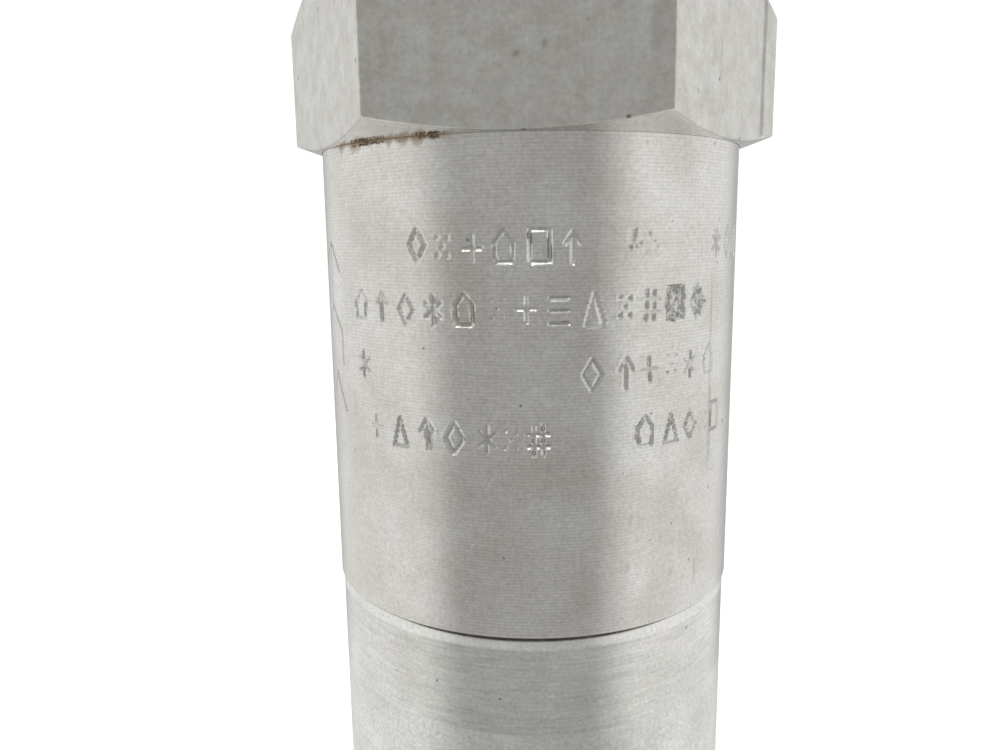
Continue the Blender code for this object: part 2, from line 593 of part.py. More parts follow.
def build_adjuster():
    """Upper spring seat, shim and thrust washer slide; the adjusting screw above them turns."""
    slide = add_axis("adjuster_travel_axis", UPPER_SEAT_Z)
    pilot_outer = SPRING_INNER - GAP
    pilot_inner = min(FLOW_HOLE_RADIUS, pilot_outer - UPPER_SEAT_PILOT_WALL)
    profile = [
        (SLIDING_RADIUS, UPPER_SEAT_THICKNESS),
        (SLIDING_RADIUS, 0.0),
        (pilot_outer, 0.0),
        (pilot_outer, -UPPER_SEAT_PILOT_HEIGHT),
        (pilot_inner, -UPPER_SEAT_PILOT_HEIGHT),
        (pilot_inner, UPPER_SEAT_THICKNESS),
    ]
    turned("upper_spring_seat", profile, UPPER_SEAT_Z, stainless("upper_seat_steel", 0.3),
           INNER_STEPS, slide)
    ring("spring_shim", pilot_outer + GAP, SPRING_OUTER + GAP, SHIM_THICKNESS, SHIM_Z,
         stainless("shim_steel", 0.25), edge=SHIM_THICKNESS / 4, parent=slide)
    ring("thrust_washer", FLOW_HOLE_RADIUS, ADJUSTER_RADIUS - THRUST_WASHER_INSET,
         THRUST_WASHER_THICKNESS, THRUST_WASHER_Z, stainless("thrust_washer_steel", 0.3),
         parent=slide)
    turn = add_axis("adjusting_screw_axis", ADJUSTER_Z)
    socket_screw("adjusting_screw", ADJUSTER_LENGTH, ADJUSTER_Z,
                 stainless("adjusting_screw_steel", 0.32), turn)


def build_lock():
    """Split washer and lock screw that hold the adjusting screw where it was set."""
    slide = add_axis("lock_travel_axis", LOCK_WASHER_Z)
    washer = ring("lock_washer", FLOW_HOLE_RADIUS, ADJUSTER_RADIUS - THRUST_WASHER_INSET,
                  LOCK_WASHER_THICKNESS, LOCK_WASHER_Z, spring_steel("lock_washer_steel"),
                  parent=slide)
    opening = box_cutter(
        "lock_washer_opening",
        (LOCK_WASHER_OPENING, 2 * ADJUSTER_RADIUS, 3 * LOCK_WASHER_THICKNESS),
        (0.0, ADJUSTER_RADIUS, LOCK_WASHER_Z + LOCK_WASHER_THICKNESS / 2), 0.0, slide)
    cut(washer, opening)
    turn = add_axis("lock_screw_axis", LOCK_SCREW_Z)
    socket_screw("lock_screw", LOCK_SCREW_LENGTH, LOCK_SCREW_Z,
                 stainless("lock_screw_steel", 0.32), turn)


build_valve_body()
build_inlet_fitting()
build_joint_seals()
build_seat()
build_poppet()
build_stop_ring()
build_spring()
build_adjuster()
build_lock()
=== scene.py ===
import math

import bmesh
import bpy
import numpy as np
from mathutils import Matrix, Vector


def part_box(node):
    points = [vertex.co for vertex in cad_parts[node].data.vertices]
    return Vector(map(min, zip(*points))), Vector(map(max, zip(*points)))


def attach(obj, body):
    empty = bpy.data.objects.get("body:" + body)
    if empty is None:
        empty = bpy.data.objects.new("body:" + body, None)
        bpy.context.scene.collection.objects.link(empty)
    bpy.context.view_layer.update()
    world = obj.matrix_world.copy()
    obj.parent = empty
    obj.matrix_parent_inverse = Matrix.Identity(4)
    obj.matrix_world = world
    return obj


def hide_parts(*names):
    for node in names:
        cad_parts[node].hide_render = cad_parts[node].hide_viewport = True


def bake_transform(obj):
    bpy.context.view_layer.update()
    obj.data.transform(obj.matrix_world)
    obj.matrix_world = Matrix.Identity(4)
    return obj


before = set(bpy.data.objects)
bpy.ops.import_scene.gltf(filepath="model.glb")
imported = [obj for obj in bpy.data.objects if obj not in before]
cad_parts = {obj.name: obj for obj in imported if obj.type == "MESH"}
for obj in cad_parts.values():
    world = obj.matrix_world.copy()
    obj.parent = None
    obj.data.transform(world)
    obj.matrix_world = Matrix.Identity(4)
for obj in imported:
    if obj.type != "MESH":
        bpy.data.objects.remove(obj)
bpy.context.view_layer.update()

mm = 0.001
scene = bpy.context.scene
bodyLow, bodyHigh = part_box("valve_body")
fittingLow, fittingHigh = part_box("inlet_fitting")
jointHeight = bodyLow.z / mm        # where the fitting meets the barrel
topHeight = bodyHigh.z / mm         # outlet face
flatDistance = bodyHigh.y / mm      # axis to a hexagon flat
barrelRadius = 12.475
hexBase = 58.1                      # underside of the hexagon, at the barrel


# ---------------------------------------------------------------- helpers
def toLinear(hexText):
    parts = [int(hexText[i:i + 2], 16) / 255 for i in (1, 3, 5)]
    return tuple(c / 12.92 if c <= 0.04045 else ((c + 0.055) / 1.055) ** 2.4 for c in parts) + (1.0,)


def add(tree, kind, inputs=None, **settings):
    node = tree.nodes.new(kind)
    for name, value in settings.items():
        setattr(node, name, value)
    for key, value in (inputs or {}).items():
        if isinstance(value, bpy.types.NodeSocket):
            tree.links.new(value, node.inputs[key])
        else:
            node.inputs[key].default_value = value
    return node


def rampOf(tree, factor, stops, mode="LINEAR"):
    node = add(tree, "ShaderNodeValToRGB", {"Fac": factor})
    node.color_ramp.interpolation = mode
    elements = node.color_ramp.elements
    while len(elements) < len(stops):
        elements.new(0.5)
    for element, (position, colour) in zip(elements, stops):
        element.position = position
        element.color = colour
    return node.outputs["Color"]


def line(points, count=1):
    # rows of (radius, height) along straight lines between the points
    rows = [points[0]]
    for start, end in zip(points, points[1:]):
        for step in range(1, count + 1):
            t = step / count
            rows.append((start[0] + (end[0] - start[0]) * t, start[1] + (end[1] - start[1]) * t))
    return np.array(rows, float)[:, None, :]


def bend(before, corner, after, reach, steps=4):
    # a rounded corner: every argument is an array of (radius, height) for each column
    towards = (before - corner) / np.linalg.norm(before - corner, axis=-1, keepdims=True)
    away = (after - corner) / np.linalg.norm(after - corner, axis=-1, keepdims=True)
    first, last = corner + towards * reach, corner + away * reach
    rows = []
    for step in range(steps + 1):
        t = step / steps
        rows.append((1 - t) ** 2 * first + 2 * t * (1 - t) * corner + t * t * last)
    return np.stack(rows)


def smooth(value, low, high):
    t = np.clip((value - low) / (high - low), 0, 1)
    return t * t * (3 - 2 * t)


def threadRows(angles, start, end, crest, depth, pitch, taper=0.0, perPitch=12, runIn=0.6):
    # helical rows from height start to end; a negative depth cuts outwards, as in a bore
    count = max(2, int(abs(end - start) / pitch * perPitch))
    heights = np.linspace(start, end, count + 1)[:, None] + 0 * angles[None, :]
    phase = (heights / pitch - angles[None, :] / (2 * math.pi)) % 1.0
    groove = np.clip((np.abs(2 * phase - 1) - 0.1) / 0.8, 0, 1)
    low, high = min(start, end), max(start, end)
    groove = groove * smooth(heights, low, low + runIn) * (1 - smooth(heights, high - runIn, high))
    radii = crest + taper * (heights - start) - depth * groove
    return np.stack([radii, heights], axis=-1)


def makeObject(name, mesh, materials):
    obj = bpy.data.objects.new(name, mesh)
    scene.collection.objects.link(obj)
    for material in materials:
        mesh.materials.append(material)
    return obj


def finishMesh(mesh, sharpAngle=32):
    work = bmesh.new()
    work.from_mesh(mesh)
    bmesh.ops.remove_doubles(work, verts=work.verts, dist=0.002 * mm)
    bmesh.ops.dissolve_degenerate(work, edges=work.edges, dist=0.001 * mm)
    bmesh.ops.recalc_face_normals(work, faces=work.faces)
    work.to_mesh(mesh)
    work.free()
    mesh.shade_smooth()
    mesh.set_sharp_from_angle(angle=math.radians(sharpAngle))
    mesh.update()


def ringSolid(name, sections, angles, materials, slots=None, marks=None):
    # a closed solid of revolution with a through hole: sections go once round its outline;
    # marks gives the row where each attribute starts and its values
    columns = len(angles)
    rows = [np.broadcast_to(part, (part.shape[0], columns, 2)) for part in sections]
    slotOfRow = np.concatenate([np.full(len(part), slots[i] if slots else 0) for i, part in enumerate(rows)])
    grid = np.concatenate(rows)
    x = grid[..., 0] * np.cos(angles)
    y = grid[..., 0] * np.sin(angles)
    points = np.stack([x, y, grid[..., 1]], axis=-1).reshape(-1, 3) * mm
    count = len(grid)
    i, j = np.meshgrid(np.arange(count), np.arange(columns), indexing="ij")
    i2, j2 = (i + 1) % count, (j + 1) % columns
    faces = np.stack([i * columns + j, i * columns + j2, i2 * columns + j2, i2 * columns + j], axis=-1)
    mesh = bpy.data.meshes.new(name)
    mesh.from_pydata(points.tolist(), [], faces.reshape(-1, 4).tolist())
    mesh.polygons.foreach_set("material_index", np.repeat(slotOfRow, columns).astype(np.int32))
    for key, (section, values) in (marks or {}).items():
        first = sum(len(part) for part in rows[:section])
        field = np.zeros((count, columns), np.float32)
        field[first:first + len(values)] = values
        mesh.attributes.new(key, "FLOAT", "POINT").data.foreach_set("value", field.ravel())
    finishMesh(mesh)
    obj = makeObject(name, mesh, materials)
    print(f"  {name}: {sum(len(p.vertices) - 2 for p in mesh.polygons)} triangles")
    return obj


# ---------------------------------------------------------------- finishes
def makeMetal(name, look):
    # stainless steel; look says how the tool left it
    material = bpy.data.materials.new(name)
    material.use_nodes = True
    tree = material.node_tree
    tree.nodes.clear()
    place = add(tree, "ShaderNodeTexCoord").outputs["Object"]

    def cloud(scale, detail, stretch=(1, 1, 1), roughness=0.55):
        moved = add(tree, "ShaderNodeMapping", {"Vector": place, "Scale": stretch}).outputs[0]
        return add(tree, "ShaderNodeTexNoise", {
            "Vector": moved, "Scale": scale, "Detail": detail, "Roughness": roughness}).outputs["Fac"]

    def maths(operation, a, b):
        return add(tree, "ShaderNodeMath", {0: a, 1: b}, operation=operation).outputs[0]

    rings = cloud(look["ringScale"], 4, (0.12, 0.12, 1))        # uneven feed marks, round the axis
    streaks = cloud(look["streakScale"], 3, (1, 1, 0.04))       # fine lines along the axis
    mottle = cloud(look["mottleScale"], 4)                      # stain and handling
    grain = cloud(look["grainScale"], 2)
    colour = rampOf(tree, mottle, [(0.35, toLinear(look["shade"])), (0.68, toLinear(look["colour"]))])
    lines = maths("ADD", maths("MULTIPLY", rings, look["ringShade"]), maths("MULTIPLY", streaks, look["streakShade"]))
    lines = maths("ADD", lines, maths("MULTIPLY", grain, look["grainShade"]))
    level = maths("SUBTRACT", 1 + 0.5 * (look["ringShade"] + look["streakShade"] + look["grainShade"]), lines)
    cells = add(tree, "ShaderNodeTexVoronoi", {"Vector": place, "Scale": look["pitScale"]})
    pit = add(tree, "ShaderNodeMapRange", {
        "Value": cells.outputs["Distance"], "From Min": look["pitSize"], "From Max": look["pitSize"] * 2.2,
        "To Min": 0.0, "To Max": 1.0}).outputs[0]
    chosen = add(tree, "ShaderNodeSeparateColor", {0: cells.outputs["Color"]}).outputs[0]
    rare = maths("GREATER_THAN", chosen, 0.4)
    pit = maths("MAXIMUM", pit, rare)
    level = maths("MULTIPLY", level, maths("ADD", maths("MULTIPLY", pit, 0.6), 0.4))
    # dirt and painted shade in stamped lines and nicks, and rust stain under the hexagon: both stored on the mesh
    soil = add(tree, "ShaderNodeAttribute", attribute_name="soil").outputs["Fac"]
    stain = add(tree, "ShaderNodeAttribute", attribute_name="stain").outputs["Fac"]
    # painted shade and dirt: this attribute darkens the colour inside stamped lines, scratches and nicks
    level = maths("MULTIPLY", level, maths("SUBTRACT", 1.0, maths("MULTIPLY", soil, 0.42)))
    shaded = add(tree, "ShaderNodeVectorMath", {0: colour, 3: level}, operation="SCALE").outputs[0]
    gloss = add(tree, "ShaderNodeMapRange", {
        "Value": maths("ADD", maths("MULTIPLY", mottle, 0.6), maths("MULTIPLY", rings, 0.4)),
        "From Min": 0.3, "From Max": 0.7,
        "To Min": look["roughness"][1], "To Max": look["roughness"][0]}).outputs[0]
    gloss = maths("ADD", gloss, maths("ADD", maths("MULTIPLY", soil, 0.1), maths("MULTIPLY", stain, 0.4)))
    height = maths("MULTIPLY", grain, look["grainHeight"])
    height = maths("ADD", height, maths("MULTIPLY", rings, look["ringHeight"]))
    height = maths("ADD", height, maths("MULTIPLY", streaks, look["streakHeight"]))
    if look["feed"]:
        # one turning mark for each turn of the bar; bands of the Wave node repeat every 2 pi / 20 units
        wave = add(tree, "ShaderNodeTexWave", {
            "Vector": place, "Scale": 2 * math.pi / 20 / (look["feed"] * mm), "Distortion": 1.2,
            "Detail": 2.0, "Detail Scale": 0.6}, bands_direction="Z").outputs["Fac"]
        height = maths("ADD", height, maths("MULTIPLY", wave, look["feedHeight"]))
        # painted shade and oxide: the colour is darkened in the valleys of the turning marks
        valley = maths("MULTIPLY", maths("SUBTRACT", wave, 0.5), look["feedShade"])
        shaded = add(tree, "ShaderNodeVectorMath", {0: shaded, 3: maths("ADD", valley, 1.0)}, operation="SCALE").outputs[0]
    height = maths("ADD", height, maths("MULTIPLY", pit, 0.004))
    bump = add(tree, "ShaderNodeBump", {"Height": height, "Strength": 1.0, "Distance": mm})
    tangent = add(tree, "ShaderNodeTangent", direction_type="RADIAL", axis="Z")
    shaded = add(tree, "ShaderNodeMix", {0: stain, 6: shaded, 7: toLinear(look["stain"])}, data_type="RGBA").outputs[2]
    solid = maths("SUBTRACT", 1.0, maths("MULTIPLY", stain, 0.85))
    shader = add(tree, "ShaderNodeBsdfPrincipled", {
        "Base Color": shaded, "Metallic": solid, "Roughness": gloss,
        "Anisotropic": look["anisotropy"], "Anisotropic Rotation": look["turn"],
        "Normal": bump.outputs[0], "Tangent": tangent.outputs[0]})
    out = add(tree, "ShaderNodeOutputMaterial", {"Surface": shader.outputs[0]})
    out.is_active_output = True
    return material


baseLook = {
    "colour": "#D3D2CE", "shade": "#C4C2BB", "roughness": (0.17, 0.23), "anisotropy": 0.93, "turn": 0.25,
    "ringScale": 6000, "ringShade": 0.15, "ringHeight": 0.0012,
    "streakScale": 3000, "streakShade": 0.08, "streakHeight": 0.0,
    "mottleScale": 260, "grainScale": 5200, "grainShade": 0.5, "grainHeight": 0.0004,
    "feed": 0.176, "feedHeight": 0.0011, "feedShade": 0.09,
    "pitScale": 800, "pitSize": 0.034, "stain": "#75592F",
}
finishes = {
    # turned bar: fine even rings that smear reflections up and down, not sideways
    "turnedBarrel": {},
    # cold drawn flats: no rings, faint lines along the bar, cloudy satin with small pits
    "drawnFlats": {
        "colour": "#CFCEC9", "shade": "#BFBDB6", "roughness": (0.25, 0.33), "anisotropy": 0.3, "turn": 0.0,
        "ringShade": 0.12, "ringHeight": 0.0, "streakScale": 4200, "streakShade": 0.12, "streakHeight": 0.0003,
        "mottleScale": 900, "grainScale": 4200, "grainShade": 0.4, "grainHeight": 0.0008, "feed": 0,
        "pitScale": 620, "pitSize": 0.045},
    # fitting turned faster: coarser, uneven rings
    "turnedFitting": {
        "colour": "#D6D5D2", "shade": "#C8C7C1", "ringScale": 3400, "ringShade": 0.5,
        "ringHeight": 0.004, "feed": 0.24, "feedHeight": 0.0012, "feedShade": 0.05, "mottleScale": 200},
    # lower part of the fitting, dulled by a dressing stone: hazier and paler
    "stonedFitting": {
        "colour": "#DAD9D6", "shade": "#CCCBC6", "roughness": (0.3, 0.36), "anisotropy": 0.75,
        "ringShade": 0.3, "feed": 0, "grainShade": 0.7, "mottleScale": 320},
    # chamfers and the outlet end: bright single cut
    "facedEnd": {
        "colour": "#E0DFDB", "shade": "#D6D5D0", "roughness": (0.14, 0.2), "anisotropy": 0.0, "ringShade": 0.1,
        "ringHeight": 0.0004, "feed": 0},
    # the joint and the corner under the hexagon: dark and dull, as dirt that stays there and as painted shade in these
    # crevices
    "creviceGrime": {
        "colour": "#6E6A60", "shade": "#443C32", "roughness": (0.55, 0.7), "anisotropy": 0.0, "feed": 0,
        "mottleScale": 1500},
    # tapped and bored surfaces: darker, with tool chatter
    "boredSteel": {
        "colour": "#C4C1B8", "shade": "#ABA79A", "roughness": (0.3, 0.42), "anisotropy": 0.6, "feed": 0.12,
        "feedHeight": 0.001},
    # inner parts: fine turned and passivated
    "innerStainless": {
        "colour": "#D4D3CE", "shade": "#C8C6BF", "roughness": (0.2, 0.3), "anisotropy": 0.6, "feed": 0.1,
        "feedHeight": 0.0007, "ringShade": 0.2},
    # hard drawn spring wire: smooth, slightly straw coloured
    "springWire": {
        "colour": "#C9C4B4", "shade": "#B3AC9A", "roughness": (0.25, 0.35), "anisotropy": 0.0, "turn": 0.0,
        "ringShade": 0.03, "ringHeight": 0.0, "feed": 0},
}
steel = {name: makeMetal(name, {**baseLook, **change}) for name, change in finishes.items()}


def makeSoft(name, colour, shade, roughness, scale, height, gloss=0.0):
    material = bpy.data.materials.new(name)
    material.use_nodes = True
    tree = material.node_tree
    tree.nodes.clear()
    place = add(tree, "ShaderNodeTexCoord").outputs["Object"]
    cloud = add(tree, "ShaderNodeTexNoise", {"Vector": place, "Scale": scale, "Detail": 4.0}).outputs["Fac"]
    tint = rampOf(tree, cloud, [(0.35, toLinear(shade)), (0.65, toLinear(colour))])
    dull = add(tree, "ShaderNodeMapRange", {
        "Value": cloud, "To Min": roughness - 0.08, "To Max": roughness + 0.08}).outputs[0]
    bump = add(tree, "ShaderNodeBump", {"Height": cloud, "Strength": 1.0, "Distance": height * mm}).outputs[0]
    shader = add(tree, "ShaderNodeBsdfPrincipled", {
        "Base Color": tint, "Roughness": dull, "IOR": 1.45, "Coat Weight": gloss, "Normal": bump})
    add(tree, "ShaderNodeOutputMaterial", {"Surface": shader.outputs[0]})
    return material


sealRubber = makeSoft("mouldedRubber", "#2B2320", "#1C1715", 0.5, 1400, 0.02)     # brown-black fluoro rubber
sealPlastic = makeSoft("turnedPtfe", "#E9E7E0", "#DDD9CE", 0.42, 1800, 0.01)      # waxy white turned plastic
rust = makeSoft("dryRust", "#80603A", "#4F3821", 0.9, 5200, 0.05)                # dull brown flakes
print("finishes made")

# ---------------------------------------------------------------- hexagon
hexagon = {
    "cornerRounding": 0.16,     # edge between two flats
    "edgeRounding": 0.13,       # edge between a flat and a chamfer
    "coneSlope": math.tan(math.radians(20)),
    "topRadius": 11.63,         # where the outlet end's chamfer meets its face
    "topSlope": 1.19,           # how far that chamfer goes in for each mm up
    "mouthRadius": 6.98,        # countersink of the port
    "columnsPerFlat": 124,
    "flatRows": 60,
    "waviness": 0.012,          # how far the drawn flats are from true
}


def hexRadius(angles, apothem, rounding):
    fromFlat = (angles % (math.pi / 3)) - math.pi / 6
    fromCorner = math.pi / 6 - np.abs(fromFlat)
    centre = (apothem - rounding) / math.cos(math.pi / 6)
    tangent = math.atan2(rounding * 0.5, centre + rounding * math.cos(math.pi / 6))
    sharp = apothem / np.cos(fromFlat)
    reach = np.clip(rounding ** 2 - (centre * np.sin(fromCorner)) ** 2, 0, None)
    return np.where(fromCorner < tangent, centre * np.cos(fromCorner) + np.sqrt(reach), sharp)


def hexColumns(perFlat, cornerZone=0.6):
    nearCorner = np.linspace(0, cornerZone, 7)
    across = np.linspace(cornerZone, 60 - cornerZone, perFlat)[1:-1]
    sector = np.concatenate([nearCorner, across, 60 - nearCorner[:0:-1]])
    return np.radians(np.concatenate([sector + 60 * k for k in range(6)]))


def nickField(angles, heights, radius, nicks):
    # small dents: (degrees from the front towards the right, height, width, tallness, depth, dirt and painted shade) in
    # mm
    depth = np.zeros(np.broadcast(angles, heights).shape)
    soil = np.zeros(depth.shape)
    for turn, height, width, tallness, deep, dirtAndPaintedShade in nicks:
        away = (np.degrees(angles) + 90 - turn + 180) % 360 - 180
        along = np.radians(away) * radius
        near = np.clip(1 - (along / width) ** 2 - ((heights - height) / tallness) ** 2, 0, 1)
        depth = np.maximum(depth, deep * near)
        # painted shade and dirt: each dent is marked to be darkened in colour
        soil = np.maximum(soil, dirtAndPaintedShade * np.sqrt(near))
    return depth, soil


def rustRuns(angles, below, strength, seed):
    # stain that starts at the corner under the hexagon and runs out unevenly over a short distance in mm
    turns = (np.degrees(angles) + 90 + 180) % 360 - 180
    knots = np.arange(-64, 10, 1.5)
    lengths = np.random.default_rng(seed).uniform(0, 1, len(knots)) ** 2
    reach = 0.12 + 0.6 * np.interp(turns, knots, lengths, left=0, right=0)
    window = smooth(turns, -60, -50) * (1 - smooth(turns, -22, -6))
    return strength * window * np.clip(1 - below / reach, 0, 1)


def buildHexagon():
    angles = hexColumns(hexagon["columnsPerFlat"])
    radius = hexRadius(angles, flatDistance, hexagon["cornerRounding"])
    slope = hexagon["coneSlope"]
    reach = hexagon["edgeRounding"]
    barrel = np.full_like(radius, barrelRadius)
    base = np.stack([barrel, np.full_like(radius, hexBase)], -1)
    lowCorner = np.stack([radius, hexBase + (radius - barrelRadius) * slope], -1)
    highCorner = np.stack([radius, topHeight - (radius - hexagon["topRadius"]) / hexagon["topSlope"]], -1)
    topEdge = np.stack([np.full_like(radius, hexagon["topRadius"]), np.full_like(radius, topHeight)], -1)
    middle = (lowCorner + highCorner) / 2
    inward = topEdge - np.array([1.0, 0.0])
    lowBend = bend(base, lowCorner, middle, reach)
    highBend = bend(middle, highCorner, topEdge, reach)
    topBend = bend(highCorner, topEdge, inward, 0.06, 3)
    rows = np.linspace(0, 1, hexagon["flatRows"])[1:-1, None, None]
    flat = lowBend[-1][None] * (1 - rows) + highBend[0][None] * rows
    nicks = [
        (0.4, 61.5, 0.2, 0.14, 0.02, 1.0), (6.1, 61.9, 0.14, 0.24, 0.01, 0.9), (-1.3, 63.9, 0.22, 0.12, 0.05, 0.1),
        (30.6, 63.5, 0.14, 0.14, 0.05, 0.2), (27.7, 62.2, 0.55, 1.6, 0.0, 0.22), (-26.2, 61.1, 0.11, 0.1, 0.01, 0.5),
        (-3.4, 61.0, 0.12, 0.11, 0.01, 0.4), (-8.8, 59.9, 0.12, 0.11, 0.01, 0.4), (-12.0, 60.4, 0.14, 0.12, 0.01, 0.3),
        (14.0, 61.2, 0.10, 0.12, 0.01, 0.3), (40.0, 60.0, 0.12, 0.1, 0.02, 0.8), (48.0, 61.8, 0.1, 0.4, 0.02, 0.3),
        (130.0, 62.0, 0.2, 0.15, 0.06, 0.6), (185.0, 63.5, 0.15, 0.4, 0.05, 0.4), (222.0, 61.0, 0.2, 0.12, 0.06, 0.5),
        (-62.0, 63.0, 0.1, 0.5, 0.03, 0.3), (-38.5, 62.0, 0.14, 30.0, 0.004, 0.14), (82.0, 62.0, 0.32, 30.0, 0.012, 0.95),
        (52.5, 62.0, 0.16, 30.0, 0.004, 0.15), (171.0, 62.0, 0.2, 30.0, 0.008, 0.3)]
    dents, dirtAndPaintedShade = nickField(angles[None, :], flat[..., 1], flatDistance, nicks)
    wave = np.sin(angles[None] * 9 + flat[..., 1] * 0.5) * np.sin(flat[..., 1] * 0.9 + angles[None] * 5)
    fade = np.minimum(rows[..., 0], 1 - rows[..., 0]).clip(0, 0.15) / 0.15
    flat[..., 0] -= dents + hexagon["waviness"] * (1 + wave) * 0.5 * fade
    blank = np.linspace(0, 1, 6)[:-1, None, None]
    cone = base[None] * (1 - blank) + lowBend[0][None] * blank
    # painted shade and dirt: the thin band from the barrel out to this row, in the corner under the hexagon, takes the
    # dark crevice finish
    cornerDirtAndPaintedShadeRow = base[None] + np.array([0.03, 0.03 * slope])
    cone[1:] += (cornerDirtAndPaintedShadeRow - base[None]) * (1 - blank[1:])
    coneStain = rustRuns(angles[None, :], np.array([0, 0, 0.4, 0.8, 1.4])[:, None], 0.5, 3)
    chamfer = highBend[-1][None] * (1 - blank[1:]) + topBend[0][None] * blank[1:]
    mouth = hexagon["mouthRadius"]
    inner = line([(hexagon["topRadius"] - 1.2, topHeight), (mouth, topHeight)], 3)
    wall = line([(mouth, topHeight - 0.4), (mouth, hexBase)], 1)
    floor = line([(9.0, hexBase), (12.2, hexBase)], 1)
    parts = [cone[:1], cornerDirtAndPaintedShadeRow, cone[1:], lowBend, flat, highBend, chamfer, topBend, inner, wall, floor]
    obj = ringSolid("valve_hexagon", parts, angles,
                    [steel["drawnFlats"], steel["facedEnd"], steel["creviceGrime"]],
                    [2, 1, 1, 0, 0, 0, 1, 1, 1, 1, 1], {"soil": (4, dirtAndPaintedShade), "stain": (0, coneStain)})
    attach(obj, "valve_shell")
    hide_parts("valve_body")
    return obj


buildHexagon()
print("hexagon made")

# ---------------------------------------------------------------- barrel and its hand-stamped marks
barrel = {
    "edgeWidth": 0.05,          # broken edge at the joint; it and the end face take the dark crevice finish, dirt and painted shade
    "edgeHeight": 0.06,
    "strokeHalfWidth": 0.12,    # half the width of a stamped line
    "strokeDepth": 0.095,
    "burr": 0.018,              # metal pushed up beside a stroke
    "markHeight": 1.55,
    "markWidth": 0.95,
    "startTurn": -69.14,        # degrees from the front: where the rows are measured from
    "seed": 11,
}
# generic punch shapes, in a box one unit wide and high; none is a letter or a number
markShapes = {
    "bar": [[(0.5, 0), (0.5, 1)]],
    "twinBar": [[(0.2, 0), (0.2, 1)], [(0.8, 0), (0.8, 1)]],
    "dash": [[(0, 0.5), (1, 0.5)]],
    "plus": [[(0.5, 0.1), (0.5, 0.9)], [(0, 0.5), (1, 0.5)]],
    "square": [[(0, 0), (1, 0), (1, 1), (0, 1), (0, 0)]],
    "diamond": [[(0.5, 0), (1, 0.5), (0.5, 1), (0, 0.5), (0.5, 0)]],
    "triangle": [[(0, 0), (1, 0), (0.5, 1), (0, 0)]],
    "lattice": [[(0.25, 0), (0.25, 1)], [(0.75, 0), (0.75, 1)], [(-0.1, 0.3), (1.1, 0.3)], [(-0.1, 0.7), (1.1, 0.7)]],
    "house": [[(0.1, 0), (0.9, 0), (1, 0.6), (0.5, 1), (0, 0.6), (0.1, 0)]],
    "tripleDash": [[(0, 0.1), (1, 0.1)], [(0, 0.5), (1, 0.5)], [(0, 0.9), (1, 0.9)]],
    "star": [[(0.5, 0.05), (0.5, 0.95)], [(0.05, 0.27), (0.95, 0.73)], [(0.05, 0.73), (0.95, 0.27)]],
    "arrow": [[(0.5, 0), (0.5, 1)], [(0.1, 0.6), (0.5, 1), (0.9, 0.6)]],
    "zigzag": [[(0, 0.2), (0.25, 0.8), (0.5, 0.2), (0.75, 0.8), (1, 0.2)]],
    "dots": [[(0.2, 0.2), (0.25, 0.25)], [(0.8, 0.2), (0.8, 0.25)], [(0.2, 0.8), (0.25, 0.8)],
             [(0.8, 0.8), (0.8, 0.75)], [(0.5, 0.5), (0.5, 0.52)]],
    "dot": [[(0.45, 0.1), (0.55, 0.1)]],
}
# one row of punch marks each: height of the row's centre, then (distance along, punch) in mm
markRows = [
    (52.8, [(9.4, "diamond"), (10.85, "dots"), (12.4, "plus"), (13.95, "house"), (15.7, "square"),
            (17.3, "arrow"), (26.8, "star"), (28.4, "diamond"), (29.9, "triangle")]),
    (49.7, [(5.1, "house"), (6.9, "arrow"), (8.6, "diamond"), (10.25, "star"), (11.9, "house"), (13.6, "dots"),
            (15.05, "plus"), (16.65, "tripleDash"), (18.4, "triangle"), (20.0, "dots"), (21.5, "lattice"),
            (23.2, "square", 1.9), (23.35, "star", 2.2), (23.1, "house", 1.6), (24.95, "diamond", 1.7),
            (25.1, "plus", 2.0)]),
    (46.5, [(5.15, "star"), (18.3, "diamond"), (20.1, "arrow"), (21.5, "plus"), (23.0, "dots"),
            (24.45, "star"), (26.25, "house")]),
    (43.2, [(6.15, "plus"), (7.95, "triangle"), (9.7, "arrow"), (11.25, "diamond"), (13.0, "star"),
            (14.2, "dots"), (15.6, "lattice"), (21.3, "house"), (23.05, "triangle"), (24.6, "diamond"),
            (25.85, "dots"), (27.15, "square"), (28.6, "dot")]),
]
# thin scribed lines of the flow arrow and a few scratches, in mm along and mm up
scribedLines = [
    [(1.38, 53.0), (1.38, 49.5), (3.0, 48.05), (3.07, 46.2)], [(1.38, 49.5), (-0.2, 48.1)],
    [(1.38, 53.0), (1.9, 52.7), (2.96, 51.4)], [(1.38, 53.0), (0.0, 51.9)],
    [(1.75, 45.6), (3.2, 43.5)], [(1.75, 45.6), (0.1, 43.6)],
]
# stray scratches, fainter than the arrow
scratches = [
    [(26.85, 51.0), (26.9, 47.5)], [(26.9, 47.5), (26.95, 40.4)], [(27.05, 45.0), (27.15, 41.2)],
    [(25.8, 35.3), (25.85, 34.2)],
]
# scuffed patches: (from, to, low, high, count, size, depth, dirt and painted shade) in mm
scuffs = [
    (20.7, 21.9, 52.6, 53.5, 22, 0.13, 0.075, 0.15), (21.6, 22.8, 52.2, 53.0, 20, 0.13, 0.065, 0.15),
    (23.1, 24.3, 48.9, 50.6, 26, 0.2, 0.08, 0.5), (25.0, 26.0, 49.1, 50.6, 16, 0.17, 0.06, 0.5),
    (5.0, 27.0, 36.0, 41.0, 14, 0.12, 0.012, 0.5),
]


